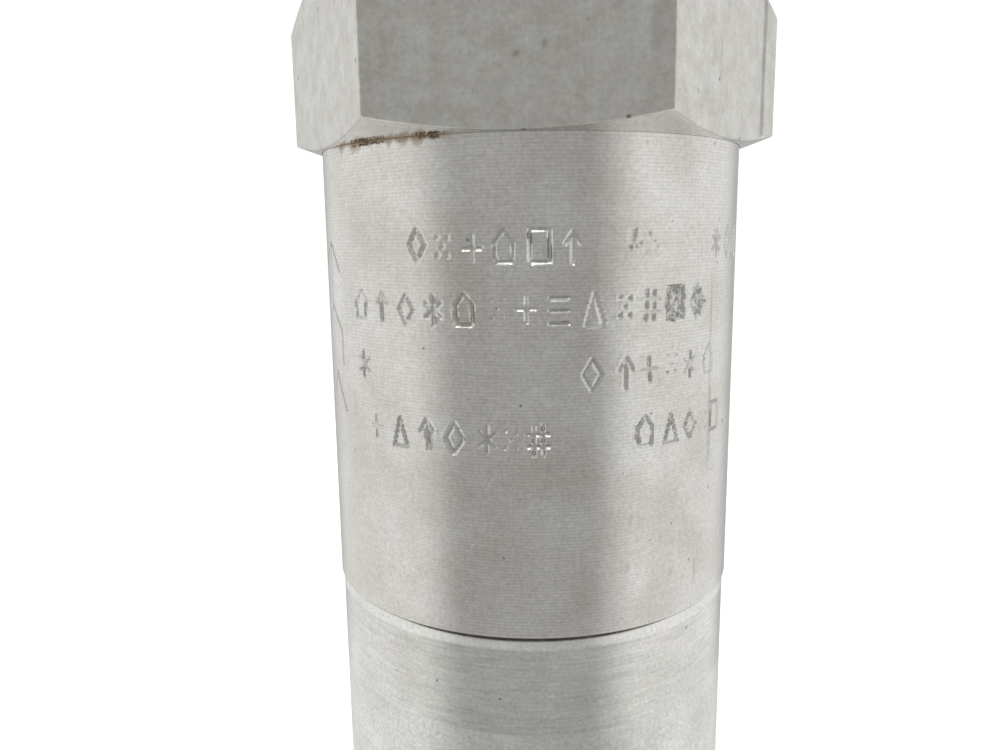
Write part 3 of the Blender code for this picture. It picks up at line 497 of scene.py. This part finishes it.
def segmentsOfMarks():
    rng = np.random.default_rng(barrel["seed"])
    found = []
    for height, marks in markRows:
        for along, kind, *heavy in marks:
            tilt = rng.normal(0, 0.03)
            lift = rng.normal(0, 0.06)
            depth = barrel["strokeDepth"] * rng.uniform(0.65, 1.1) * (heavy[0] if heavy else 1)
            dirtAndPaintedShade = rng.uniform(0.2, 0.85)
            for path in markShapes[kind]:
                placed = []
                for px, py in path:
                    px = (px - 0.5) * barrel["markWidth"]
                    py = (py - 0.5) * barrel["markHeight"]
                    placed.append((along + barrel["markWidth"] / 2 + px - tilt * py, height + lift + py + tilt * px))
                for a, b in zip(placed, placed[1:]):
                    found.append((a, b, barrel["strokeHalfWidth"] * (1.35 if heavy else 1), depth, dirtAndPaintedShade))
    for path in scribedLines:
        for a, b in zip(path, path[1:]):
            found.append((a, b, 0.10, 0.05, 1.0))
    for path in scratches:
        found.append((path[0], path[1], 0.10, 0.02, 0.6))
    return found


def scuffNicks():
    rng = np.random.default_rng(barrel["seed"] + 1)
    nicks = []
    for start, end, low, high, count, size, depth, dirtAndPaintedShade in scuffs:
        for place in range(count):
            turn = barrel["startTurn"] + math.degrees(rng.uniform(start, end) / barrelRadius)
            wide, tall = size * rng.uniform(0.7, 1.3, 2)
            nicks.append((turn, rng.uniform(low, high), wide, tall, depth * rng.uniform(0.4, 1.2), dirtAndPaintedShade * rng.uniform(0, 1)))
    return nicks


def strokeField(along, up):
    cut = np.zeros(along.shape)
    ridge = np.zeros(along.shape)
    soil = np.zeros(along.shape)
    for a, b, halfWidth, depth, dirtAndPaintedShade in segmentsOfMarks():
        dx, dy = b[0] - a[0], b[1] - a[1]
        length = max(dx * dx + dy * dy, 1e-9)
        t = np.clip(((along - a[0]) * dx + (up - a[1]) * dy) / length, 0, 1)
        away = np.hypot(along - a[0] - t * dx, up - a[1] - t * dy) / halfWidth
        cut = np.maximum(cut, depth * np.clip(1 - away ** 2, 0, 1))
        # painted shade and dirt: the inside of each stroke is marked to be darkened in colour
        soil = np.maximum(soil, dirtAndPaintedShade * np.clip(1 - away ** 2, 0, 1))
        ridge = np.maximum(ridge, barrel["burr"] * depth / 0.1 * np.exp(-((away - 1.35) / 0.3) ** 2))
    return cut - np.where(cut > 0.01, 0, ridge), soil


def buildBarrel():
    start = barrel["startTurn"]
    front = np.linspace(start - 4, start + 148, 370)         # columns close together where the marks are
    behind = np.linspace(start + 148, start + 356, 110)[1:-1]
    turns = np.concatenate([front, behind])
    angles = np.radians(turns - 90)
    low = jointHeight + barrel["edgeHeight"]
    heights = [[low], np.linspace(low + 0.04, 41.6, 22), np.linspace(41.9, 54.0, 134), np.linspace(54.4, 57.0, 7), np.linspace(57.1, hexBase, 14)]
    heights = np.unique(np.round(np.concatenate(heights), 4))
    wide = np.broadcast_to(heights[:, None], (len(heights), len(angles)))
    along = np.radians(turns - start)[None, :] * barrelRadius + 0 * wide
    depth, soil = strokeField(along, wide)
    dents, dirtAndPaintedShade = nickField(angles[None, :], wide, barrelRadius, scuffNicks() + [
        (26.3, 52.65, 0.16, 0.14, 0.08, 1.0), (40.0, 35.2, 0.2, 0.15, 0.03, 0.4), (-30.0, 38.0, 0.15, 0.1, 0.03, 0.4),
        (150.0, 47.0, 0.3, 0.2, 0.05, 0.4), (-130.0, 41.0, 0.2, 0.3, 0.04, 0.4)])
    depth = depth + dents
    soil = np.maximum(soil, dirtAndPaintedShade)
    stain = rustRuns(angles[None, :], hexBase - wide, 0.9, 5)
    outer = np.stack([barrelRadius - depth, wide], -1)
    edge = barrel["edgeWidth"]
    # painted shade and dirt: the end face at the joint and the broken edge above it take the dark crevice finish
    under = line([(11.0, jointHeight), (barrelRadius - edge, jointHeight)], 2)
    back = line([(12.2, hexBase), (11.0, hexBase)], 1)
    obj = ringSolid("valve_barrel", [under, outer, back], angles,
                    [steel["turnedBarrel"], steel["creviceGrime"]], [1, 0, 0], {"soil": (1, soil), "stain": (1, stain)})
    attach(obj, "valve_shell")
    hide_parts("valve_body")
    return obj


buildBarrel()
print("barrel made")

# ---------------------------------------------------------------- bores and threads inside the body
bores = {
    "portPitch": 25.4 / 18,     # taper pipe thread, 18 to the inch
    "portDepth": 1.0,
    "adjusterPitch": 1.0,
    "adjusterDepth": 0.45,
    "socketPitch": 1.5,
    "columns": 176,
}


def buildBores():
    angles = np.linspace(0, 2 * math.pi, bores["columns"], endpoint=False)
    mouth = line([(7.2, topHeight - 0.3), (hexagon["mouthRadius"], topHeight - 0.01), (5.68, 66.8)], 3)
    port = threadRows(angles, 66.8, 55.3, 5.68, -bores["portDepth"], bores["portPitch"], 1 / 32)
    step = line([(5.28, 55.1), (5.3, 55.1), (5.15, 55.0)], 1)
    adjuster = threadRows(angles, 55.0, 46.8, 5.004, -bores["adjusterDepth"], bores["adjusterPitch"], 0, 10)
    chamber = line([(5.2, 46.5), (7.3, 46.5), (7.3, 41.0), (10.3, 41.0), (10.3, 40.6)], 2)
    socket = threadRows(angles, 40.6, 36.4, 10.3, -0.6, bores["socketPitch"], 0, 10)
    tail = line([(10.3, 36.0), (10.3, 33.0), (10.6, 32.52), (11.2, 32.52), (11.2, 58.0), (7.2, 58.0)], 1)
    obj = ringSolid("valve_bores", [mouth, port, step, adjuster, chamber, socket, tail], angles,
                    [steel["boredSteel"], steel["facedEnd"]], [1, 0, 0, 0, 0, 0, 0])
    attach(obj, "valve_shell")
    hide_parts("valve_body")


buildBores()
print("bores made")

# ---------------------------------------------------------------- inlet fitting
fitting = {
    "radius": 12.35,
    "chamfer": 0.6,
    "rimHeight": 0.67,         # steep chamfer under the joint
    "rimWidth": 0.505,
    "finishEdge": 26.9,         # the turned finish ends here and a duller one begins
    "jointGap": 0.05,           # dark line left between the fitting and the barrel
    "flat": 11.1,               # axis to a wrench flat
    "flatTop": 23.0,
    "threadPitch": 25.4 / 18,
    "threadDepth": 1.0,
    "columns": 300,
}


def buildFitting():
    angles = np.linspace(0, 2 * math.pi, fitting["columns"], endpoint=False)
    radius = fitting["radius"]
    flat = np.minimum(radius, fitting["flat"] / np.maximum(np.abs(np.sin(angles)), 1e-6))
    chamfer = fitting["chamfer"]
    top = jointHeight - fitting["jointGap"]

    def level(radii, height):
        return np.stack([radii, np.full_like(radii, height)], -1)[None]

    face = line([(4.5, 0.0), (5.73, 0.0)], 2)
    thread = threadRows(angles, 0.0, 13.2, 6.63, fitting["threadDepth"], fitting["threadPitch"], 1 / 32, 12, 0.5)
    thread[..., 0] = np.minimum(thread[..., 0], 5.73 + thread[..., 1] * 1.0)
    neck = line([(5.983, 13.3), (5.983, 14.3), (6.2, 14.5)], 1)
    shoulder = np.concatenate([level(flat - chamfer - 3, 14.5), level(flat - chamfer, 14.5), level(flat, 14.5 + chamfer)])
    flats = np.concatenate([level(flat, h) for h in np.linspace(15.4, fitting["flatTop"] - 0.06, 14)])
    shelf = np.concatenate([level(flat + (radius - flat) * 0.06, fitting["flatTop"]),
                            level(flat + (radius - flat) * 0.94, fitting["flatTop"] + 0.02)])
    foot, inset = top - fitting["rimHeight"], fitting["rimWidth"]
    dull = line([(radius, fitting["flatTop"] + 0.08), (radius, fitting["finishEdge"])], 8)
    body = line([(radius, fitting["finishEdge"] + 0.01), (radius, foot - 0.06)], 12)
    edge = line([(radius - 0.02, foot), (radius - inset * 0.96, top - fitting["rimHeight"] * 0.04)], 8)
    # painted shade and dirt: the ledge under the barrel takes the dark crevice finish
    ledge = line([(radius - inset, top), (10.0, top)], 2)
    spigot = line([(10.0, 33.2), (8.4, 33.2), (8.4, 36.4), (9.6, 36.4), (10.0, 36.8)], 1)
    screw = threadRows(angles, 36.9, 40.0, 10.0, 0.8, bores["socketPitch"], 0, 10, 0.4)
    inside = line([(9.5, 40.5), (7.5, 40.5), (7.3, 40.3), (7.3, 31.6), (7.9, 31.6), (7.9, 30.0), (7.3, 30.0),
                   (7.3, 17.0), (4.0, 17.0), (4.0, 0.5)], 2)
    names = [steel["turnedFitting"], steel["boredSteel"], steel["facedEnd"], steel["creviceGrime"],
             steel["stonedFitting"]]
    obj = ringSolid("inlet_fitting_turned",
                    [face, thread, neck, shoulder, flats, shelf, dull, body, edge, ledge, spigot, screw, inside],
                    angles, names, [2, 1, 1, 4, 4, 4, 4, 0, 2, 3, 1, 1, 1])
    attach(obj, "valve_shell")
    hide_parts("inlet_fitting")


buildFitting()
print("inlet fitting made")

# ---------------------------------------------------------------- screws seen through the port
screws = {"crest": 4.93, "depth": 0.4, "pitch": 1.0, "socketApothem": 3.0, "columns": 240}


def buildScrew(node, body):
    low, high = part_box(node)
    low, high = low.z / mm, high.z / mm
    angles = hexColumns(screws["columns"] // 6, 1.2)
    socket = hexRadius(angles, screws["socketApothem"], 0.1)
    crest = screws["crest"]

    def socketAt(height, grow=0.0):
        return np.stack([socket + grow, np.full_like(socket, height)], -1)[None]

    thread = threadRows(angles, low + 0.3, high - 0.3, crest, screws["depth"], screws["pitch"], 0, 12, 0.2)
    rim = line([(crest - 0.35, high), (4.0, high)], 1)
    base = line([(4.0, low), (crest - 0.35, low)], 1)
    wall = np.concatenate([socketAt(high, 0.2), socketAt(high - 0.2), socketAt((low + high) / 2),
                           socketAt(low + 0.2), socketAt(low, 0.2)])
    obj = ringSolid(node + "_cut", [thread, rim, wall, base], angles, [steel["innerStainless"]])
    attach(obj, body)
    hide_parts(node)


buildScrew("adjusting_screw", "adjusting_screw")
buildScrew("lock_screw", "lock_screw")
print("screws made")

# ---------------------------------------------------------------- spring
spring = {"meanRadius": 5.4, "wireRadius": 0.7, "bottom": 29.6, "top": 43.4, "turns": 6.09, "closedTurns": 1.0,
          "steps": 360, "wireSides": 14}


def socketNamed(tree, name, kind, value):
    item = tree.interface.new_socket(name=name, in_out="INPUT", socket_type=kind)
    if value is not None:
        item.default_value = value
    return item.identifier


def springTree():
    tree = bpy.data.node_groups.new("springCoil", "GeometryNodeTree")
    tree.interface.new_socket(name="Geometry", in_out="OUTPUT", socket_type="NodeSocketGeometry")
    keys = {}
    for name, value in (("Mean Radius", spring["meanRadius"] * mm), ("Wire Radius", spring["wireRadius"] * mm),
                        ("Bottom", spring["bottom"] * mm), ("Top", spring["top"] * mm),
                        ("Turns", spring["turns"]), ("Closed Turns", spring["closedTurns"]),
                        ("From", 0.0), ("To", 1.0)):
        keys[name] = socketNamed(tree, name, "NodeSocketFloat", value)
    keys["Wire"] = socketNamed(tree, "Wire", "NodeSocketMaterial", None)
    given = add(tree, "NodeGroupInput").outputs

    def maths(operation, a, b=0.0):
        return add(tree, "ShaderNodeMath", {0: a, 1: b}, operation=operation).outputs[0]

    straight = add(tree, "GeometryNodeCurvePrimitiveLine")
    points = add(tree, "GeometryNodeResampleCurve", {"Curve": straight.outputs[0], "Count": spring["steps"]})
    factor = add(tree, "GeometryNodeSplineParameter").outputs["Factor"]
    span = maths("SUBTRACT", given["To"], given["From"])
    t = maths("ADD", given["From"], maths("MULTIPLY", factor, span))
    turn = maths("MULTIPLY", maths("MULTIPLY", t, given["Turns"]), 2 * math.pi)
    closed = maths("DIVIDE", given["Closed Turns"], given["Turns"])
    lowRise = add(tree, "ShaderNodeMapRange", {"Value": t, "From Max": closed}).outputs[0]
    highRise = add(tree, "ShaderNodeMapRange", {"Value": t, "From Min": maths("SUBTRACT", 1.0, closed),
                                                "From Max": 1.0}).outputs[0]
    midRise = add(tree, "ShaderNodeMapRange", {"Value": t, "From Min": closed,
                                               "From Max": maths("SUBTRACT", 1.0, closed)}).outputs[0]
    wire = maths("MULTIPLY", given["Wire Radius"], 2.06)      # closed turns lie almost against each other
    closedRise = maths("MULTIPLY", wire, given["Closed Turns"])
    free = maths("SUBTRACT", maths("SUBTRACT", given["Top"], given["Bottom"]),
                 maths("ADD", maths("MULTIPLY", closedRise, 2.0), maths("MULTIPLY", given["Wire Radius"], 2.0)))
    height = maths("ADD", maths("MULTIPLY", maths("ADD", lowRise, highRise), closedRise),
                   maths("MULTIPLY", midRise, free))
    height = maths("ADD", maths("ADD", height, given["Bottom"]), given["Wire Radius"])
    place = add(tree, "ShaderNodeCombineXYZ", {
        "X": maths("MULTIPLY", maths("COSINE", turn), given["Mean Radius"]),
        "Y": maths("MULTIPLY", maths("SINE", turn), given["Mean Radius"]), "Z": height}).outputs[0]
    moved = add(tree, "GeometryNodeSetPosition", {"Geometry": points.outputs[0], "Position": place})
    section = add(tree, "GeometryNodeCurvePrimitiveCircle", {"Resolution": spring["wireSides"],
                                                             "Radius": given["Wire Radius"]})
    solid = add(tree, "GeometryNodeCurveToMesh", {"Curve": moved.outputs[0], "Profile Curve": section.outputs[0],
                                                  "Fill Caps": True})
    shaded = add(tree, "GeometryNodeSetShadeSmooth", {"Geometry": solid.outputs[0]})
    real = add(tree, "GeometryNodeRealizeInstances", {"Geometry": shaded.outputs[0]})
    painted = add(tree, "GeometryNodeSetMaterial", {"Geometry": real.outputs[0], "Material": given["Wire"]})
    add(tree, "NodeGroupOutput", {"Geometry": painted.outputs[0]})
    return tree, keys


def meshFromTree(name, tree, values, source=None):
    # evaluates the tree once and keeps the plain mesh
    carrier = bpy.data.objects.new(name + "_carrier", source or bpy.data.meshes.new(name))
    scene.collection.objects.link(carrier)
    modifier = carrier.modifiers.new("build", "NODES")
    modifier.node_group = tree
    for key, value in values.items():
        modifier[key] = value
    carrier.update_tag()
    bpy.context.view_layer.update()
    mesh = bpy.data.meshes.new_from_object(carrier.evaluated_get(bpy.context.evaluated_depsgraph_get()))
    carrier.modifiers.remove(modifier)
    bpy.data.objects.remove(carrier)
    mesh.name = name
    obj = bpy.data.objects.new(name, mesh)
    scene.collection.objects.link(obj)
    return obj


tree, keys = springTree()
springBottom = Vector((0, 0, spring["bottom"] * mm))
springTop = Vector((0, 0, spring["top"] * mm))
springMiddle = (springBottom + springTop) / 2
for name, fromPart, toPart, first, second, start, end in (
        ("main_spring_lower", 0.0, 0.5, "poppet_set", "valve_shell", springBottom, springMiddle),
        ("main_spring_upper", 0.5, 1.0, "valve_shell", "spring_adjuster", springMiddle, springTop)):
    coil = meshFromTree(name, tree, {
        keys["Mean Radius"]: spring["meanRadius"] * mm, keys["Wire Radius"]: spring["wireRadius"] * mm,
        keys["Bottom"]: spring["bottom"] * mm, keys["Top"]: spring["top"] * mm,
        keys["Turns"]: spring["turns"], keys["Closed Turns"]: spring["closedTurns"],
        keys["From"]: fromPart, keys["To"]: toPart, keys["Wire"]: steel["springWire"]})
    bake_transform(coil)
    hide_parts("main_spring")
print("spring made")

# ---------------------------------------------------------------- rust crumbs under the hexagon
crumbs = {"count": 480, "size": 0.043, "seed": 8, "fromTurn": -47.0, "toTurn": -13.0}


def crumbTree():
    tree = bpy.data.node_groups.new("rustCrumbs", "GeometryNodeTree")
    tree.interface.new_socket(name="Geometry", in_out="INPUT", socket_type="NodeSocketGeometry")
    tree.interface.new_socket(name="Geometry", in_out="OUTPUT", socket_type="NodeSocketGeometry")
    keys = {"Size": socketNamed(tree, "Size", "NodeSocketFloat", crumbs["size"] * mm),
            "Density": socketNamed(tree, "Density", "NodeSocketFloat", 1.0),
            "Seed": socketNamed(tree, "Seed", "NodeSocketInt", crumbs["seed"]),
            "Rust": socketNamed(tree, "Rust", "NodeSocketMaterial", None)}
    given = add(tree, "NodeGroupInput").outputs
    patches = add(tree, "ShaderNodeTexNoise", {"Scale": 950.0, "Detail": 2.0}).outputs["Fac"]
    patches = add(tree, "ShaderNodeMapRange", {"Value": patches, "From Min": 0.49, "From Max": 0.62}).outputs[0]
    density = add(tree, "ShaderNodeMath", {0: given["Density"], 1: patches}, operation="MULTIPLY").outputs[0]
    points = add(tree, "GeometryNodeDistributePointsOnFaces", {
        "Mesh": given["Geometry"], "Density": density, "Seed": given["Seed"]})
    grain = add(tree, "GeometryNodeMeshIcoSphere", {"Radius": given["Size"], "Subdivisions": 2})
    noise = add(tree, "ShaderNodeTexNoise", {"Scale": 9000.0, "Detail": 1.0}).outputs["Color"]
    shift = add(tree, "ShaderNodeVectorMath", {0: noise, 1: (0.5, 0.5, 0.5)}, operation="SUBTRACT").outputs[0]
    shift = add(tree, "ShaderNodeVectorMath", {0: shift, 3: crumbs["size"] * mm * 1.6}, operation="SCALE").outputs[0]
    rough = add(tree, "GeometryNodeSetPosition", {"Geometry": grain.outputs[0], "Offset": shift})
    scale = add(tree, "FunctionNodeRandomValue", {0: (0.3, 0.3, 0.25), 1: (1.9, 1.3, 0.8), "Seed": given["Seed"]},
                data_type="FLOAT_VECTOR").outputs[0]
    turn = add(tree, "FunctionNodeRandomValue", {1: (6.28, 6.28, 6.28), "Seed": given["Seed"]},
               data_type="FLOAT_VECTOR").outputs[0]
    placed = add(tree, "GeometryNodeInstanceOnPoints", {
        "Points": points.outputs[0], "Instance": rough.outputs[0], "Rotation": turn, "Scale": scale})
    real = add(tree, "GeometryNodeRealizeInstances", {"Geometry": placed.outputs[0]})
    painted = add(tree, "GeometryNodeSetMaterial", {"Geometry": real.outputs[0], "Material": given["Rust"]})
    add(tree, "NodeGroupOutput", {"Geometry": painted.outputs[0]})
    return tree, keys


def crumbStrip():
    # a ribbon in the corner between the barrel and the hexagon's underside
    turns = np.radians(np.linspace(crumbs["fromTurn"], crumbs["toTurn"], 160) - 90)
    low = [(math.cos(a) * barrelRadius, math.sin(a) * barrelRadius, hexBase - 0.2) for a in turns]
    high = [(math.cos(a) * (barrelRadius + 0.2), math.sin(a) * (barrelRadius + 0.2), hexBase + 0.05) for a in turns]
    points = np.array(low + high) * mm
    count = len(turns)
    faces = [(i, i + 1, count + i + 1, count + i) for i in range(count - 1)]
    mesh = bpy.data.meshes.new("crumbStrip")
    mesh.from_pydata(points.tolist(), [], faces)
    area = sum(p.area for p in mesh.polygons)
    return mesh, area


strip, stripArea = crumbStrip()
tree, keys = crumbTree()
rusty = meshFromTree("rust_crumbs", tree, {
    keys["Size"]: crumbs["size"] * mm, keys["Density"]: crumbs["count"] / stripArea,
    keys["Seed"]: crumbs["seed"], keys["Rust"]: rust}, strip)
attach(rusty, "valve_shell")
print("rust crumbs made")

# ---------------------------------------------------------------- carried-over parts
carried = {
    "joint_seal_ring": sealRubber, "seat_seal_ring": sealRubber, "joint_backup_ring": sealPlastic,
    "poppet_seal_disc": sealPlastic, "seat_insert": steel["innerStainless"],
    "seat_retainer": steel["innerStainless"], "lift_stop_ring": steel["springWire"],
    "poppet": steel["innerStainless"], "seal_washer": steel["innerStainless"],
    "seal_screw": steel["innerStainless"], "lower_spring_seat": steel["innerStainless"],
    "upper_spring_seat": steel["innerStainless"], "spring_shim": steel["springWire"],
    "thrust_washer": steel["innerStainless"], "lock_washer": steel["springWire"],
}
for node, material in carried.items():
    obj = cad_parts[node]
    obj.data.materials.clear()
    obj.data.materials.append(material)
print("carried-over parts finished")

# ---------------------------------------------------------------- floor, light and camera
studio = {
    "frontTurn": 2.86,              # degrees: the side of the barrel that faces the camera
    "floorSize": 6.0,
    "clearRadius": 14,          # the tent lies on the floor from here out to its wall
    "wallRadius": 80,
    "wallHeight": 120,
    "whiteTurn": 90,            # degrees from the front to the middle of each white side
    "whiteHalfWidth": 45,
    "softTurn": 15,             # soft edge of a white side in degrees
    "roomTone": 0.5,
    "daylight": 1.12,
}


def buildWorld():
    world = bpy.data.worlds.new("studio")
    scene.world = world
    world.use_nodes = True
    tree = world.node_tree
    tree.nodes.clear()
    sky = add(tree, "ShaderNodeBackground", {"Color": (1, 1, 1, 1), "Strength": studio["daylight"]})
    add(tree, "ShaderNodeOutputWorld", {"Surface": sky.outputs[0]})


def buildTent():
    # what the polished metal mirrors: a grey room with one white side on the left and one on the right
    turns = np.arange(-180, 180, 2.0)
    away = np.abs(np.abs(turns) - studio["whiteTurn"])
    halfWidth, soft = studio["whiteHalfWidth"], studio["softTurn"]
    white = 1 - smooth(away, halfWidth - soft, halfWidth + soft)
    level = studio["roomTone"] + (1 - studio["roomTone"]) * white
    rows = [(studio["clearRadius"], 0.3), (studio["wallRadius"], 0.3), (studio["wallRadius"], studio["wallHeight"])]
    points, tones = [], []
    for radius, height in rows:
        for turn, tone in zip(np.radians(turns - 90), level):
            points.append((math.cos(turn) * radius * mm, math.sin(turn) * radius * mm, height * mm))
            tones.append((tone, tone, tone, 1.0))
    count = len(turns)
    faces = [(r * count + i, r * count + (i + 1) % count, (r + 1) * count + (i + 1) % count, (r + 1) * count + i)
             for r in range(len(rows) - 1) for i in range(count)]
    mesh = bpy.data.meshes.new("lightTent")
    mesh.from_pydata(points, [], faces)
    layer = mesh.color_attributes.new("tone", "FLOAT_COLOR", "POINT")
    layer.data.foreach_set("color", np.array(tones, np.float32).ravel())
    material = bpy.data.materials.new("tentCloth")      # grey cloth, white on both sides
    material.use_nodes = True
    tree = material.node_tree
    tree.nodes.clear()
    tone = add(tree, "ShaderNodeAttribute", attribute_name="tone").outputs["Color"]
    glow = add(tree, "ShaderNodeEmission", {"Color": tone})
    add(tree, "ShaderNodeOutputMaterial", {"Surface": glow.outputs[0]})
    tent = makeObject("lightTent", mesh, [material])
    tent.visible_camera = tent.visible_diffuse = tent.visible_shadow = tent.visible_transmission = False


def buildFloor():
    half = studio["floorSize"] / 2
    mesh = bpy.data.meshes.new("floor")
    mesh.from_pydata([(-half, -half, 0), (half, -half, 0), (half, half, 0), (-half, half, 0)], [], [(0, 1, 2, 3)])
    material = bpy.data.materials.new("paleTable")      # matt white laminate
    material.use_nodes = True
    tree = material.node_tree
    tree.nodes.clear()
    place = add(tree, "ShaderNodeTexCoord").outputs["Object"]
    grain = add(tree, "ShaderNodeTexNoise", {"Vector": place, "Scale": 900.0}).outputs["Fac"]
    tone = rampOf(tree, grain, [(0.3, toLinear("#F6F6F4")), (0.7, toLinear("#FBFBFA"))])
    rough = add(tree, "ShaderNodeMapRange", {"Value": grain, "To Min": 0.75, "To Max": 0.9}).outputs[0]
    shader = add(tree, "ShaderNodeBsdfPrincipled", {
        "Base Color": tone, "Roughness": rough, "Specular IOR Level": 0.2})
    add(tree, "ShaderNodeOutputMaterial", {"Surface": shader.outputs[0]})
    makeObject("floor", mesh, [material])


def buildSoftbox():
    lamp = bpy.data.lights.new("softbox", "AREA")
    lamp.size = 0.35
    lamp.energy = 0.8
    softbox = bpy.data.objects.new("softbox", lamp)
    scene.collection.objects.link(softbox)
    softbox.matrix_world = Matrix.Translation((-0.12, -0.2, 0.45)) @ Vector((-0.12, -0.2, 0.4)).to_track_quat(
        "Z", "Y").to_matrix().to_4x4()


def buildCamera():
    camera = bpy.data.objects.new("camera", bpy.data.cameras.new("camera"))
    scene.collection.objects.link(camera)
    camera.data.lens = 29.41
    camera.data.sensor_width = 36.0
    camera.data.clip_start = 0.002
    camera.data.clip_end = 20.0
    away = 52.07                            # mm from the valve's axis
    turn = math.radians(studio["frontTurn"])
    height = jointHeight + 20.965
    camera.matrix_world = (
        Matrix.Translation(Vector((away * math.sin(turn), -away * math.cos(turn), height)) * mm)
        @ Matrix.Rotation(math.radians(5.018), 4, "Z") @ Matrix.Rotation(math.radians(80.058), 4, "X")
        @ Matrix.Rotation(math.radians(-0.749), 4, "Z"))
    scene.camera = camera


buildWorld()
buildTent()
buildFloor()
buildSoftbox()
buildCamera()
scene.view_settings.view_transform = "Standard"
print("studio made")
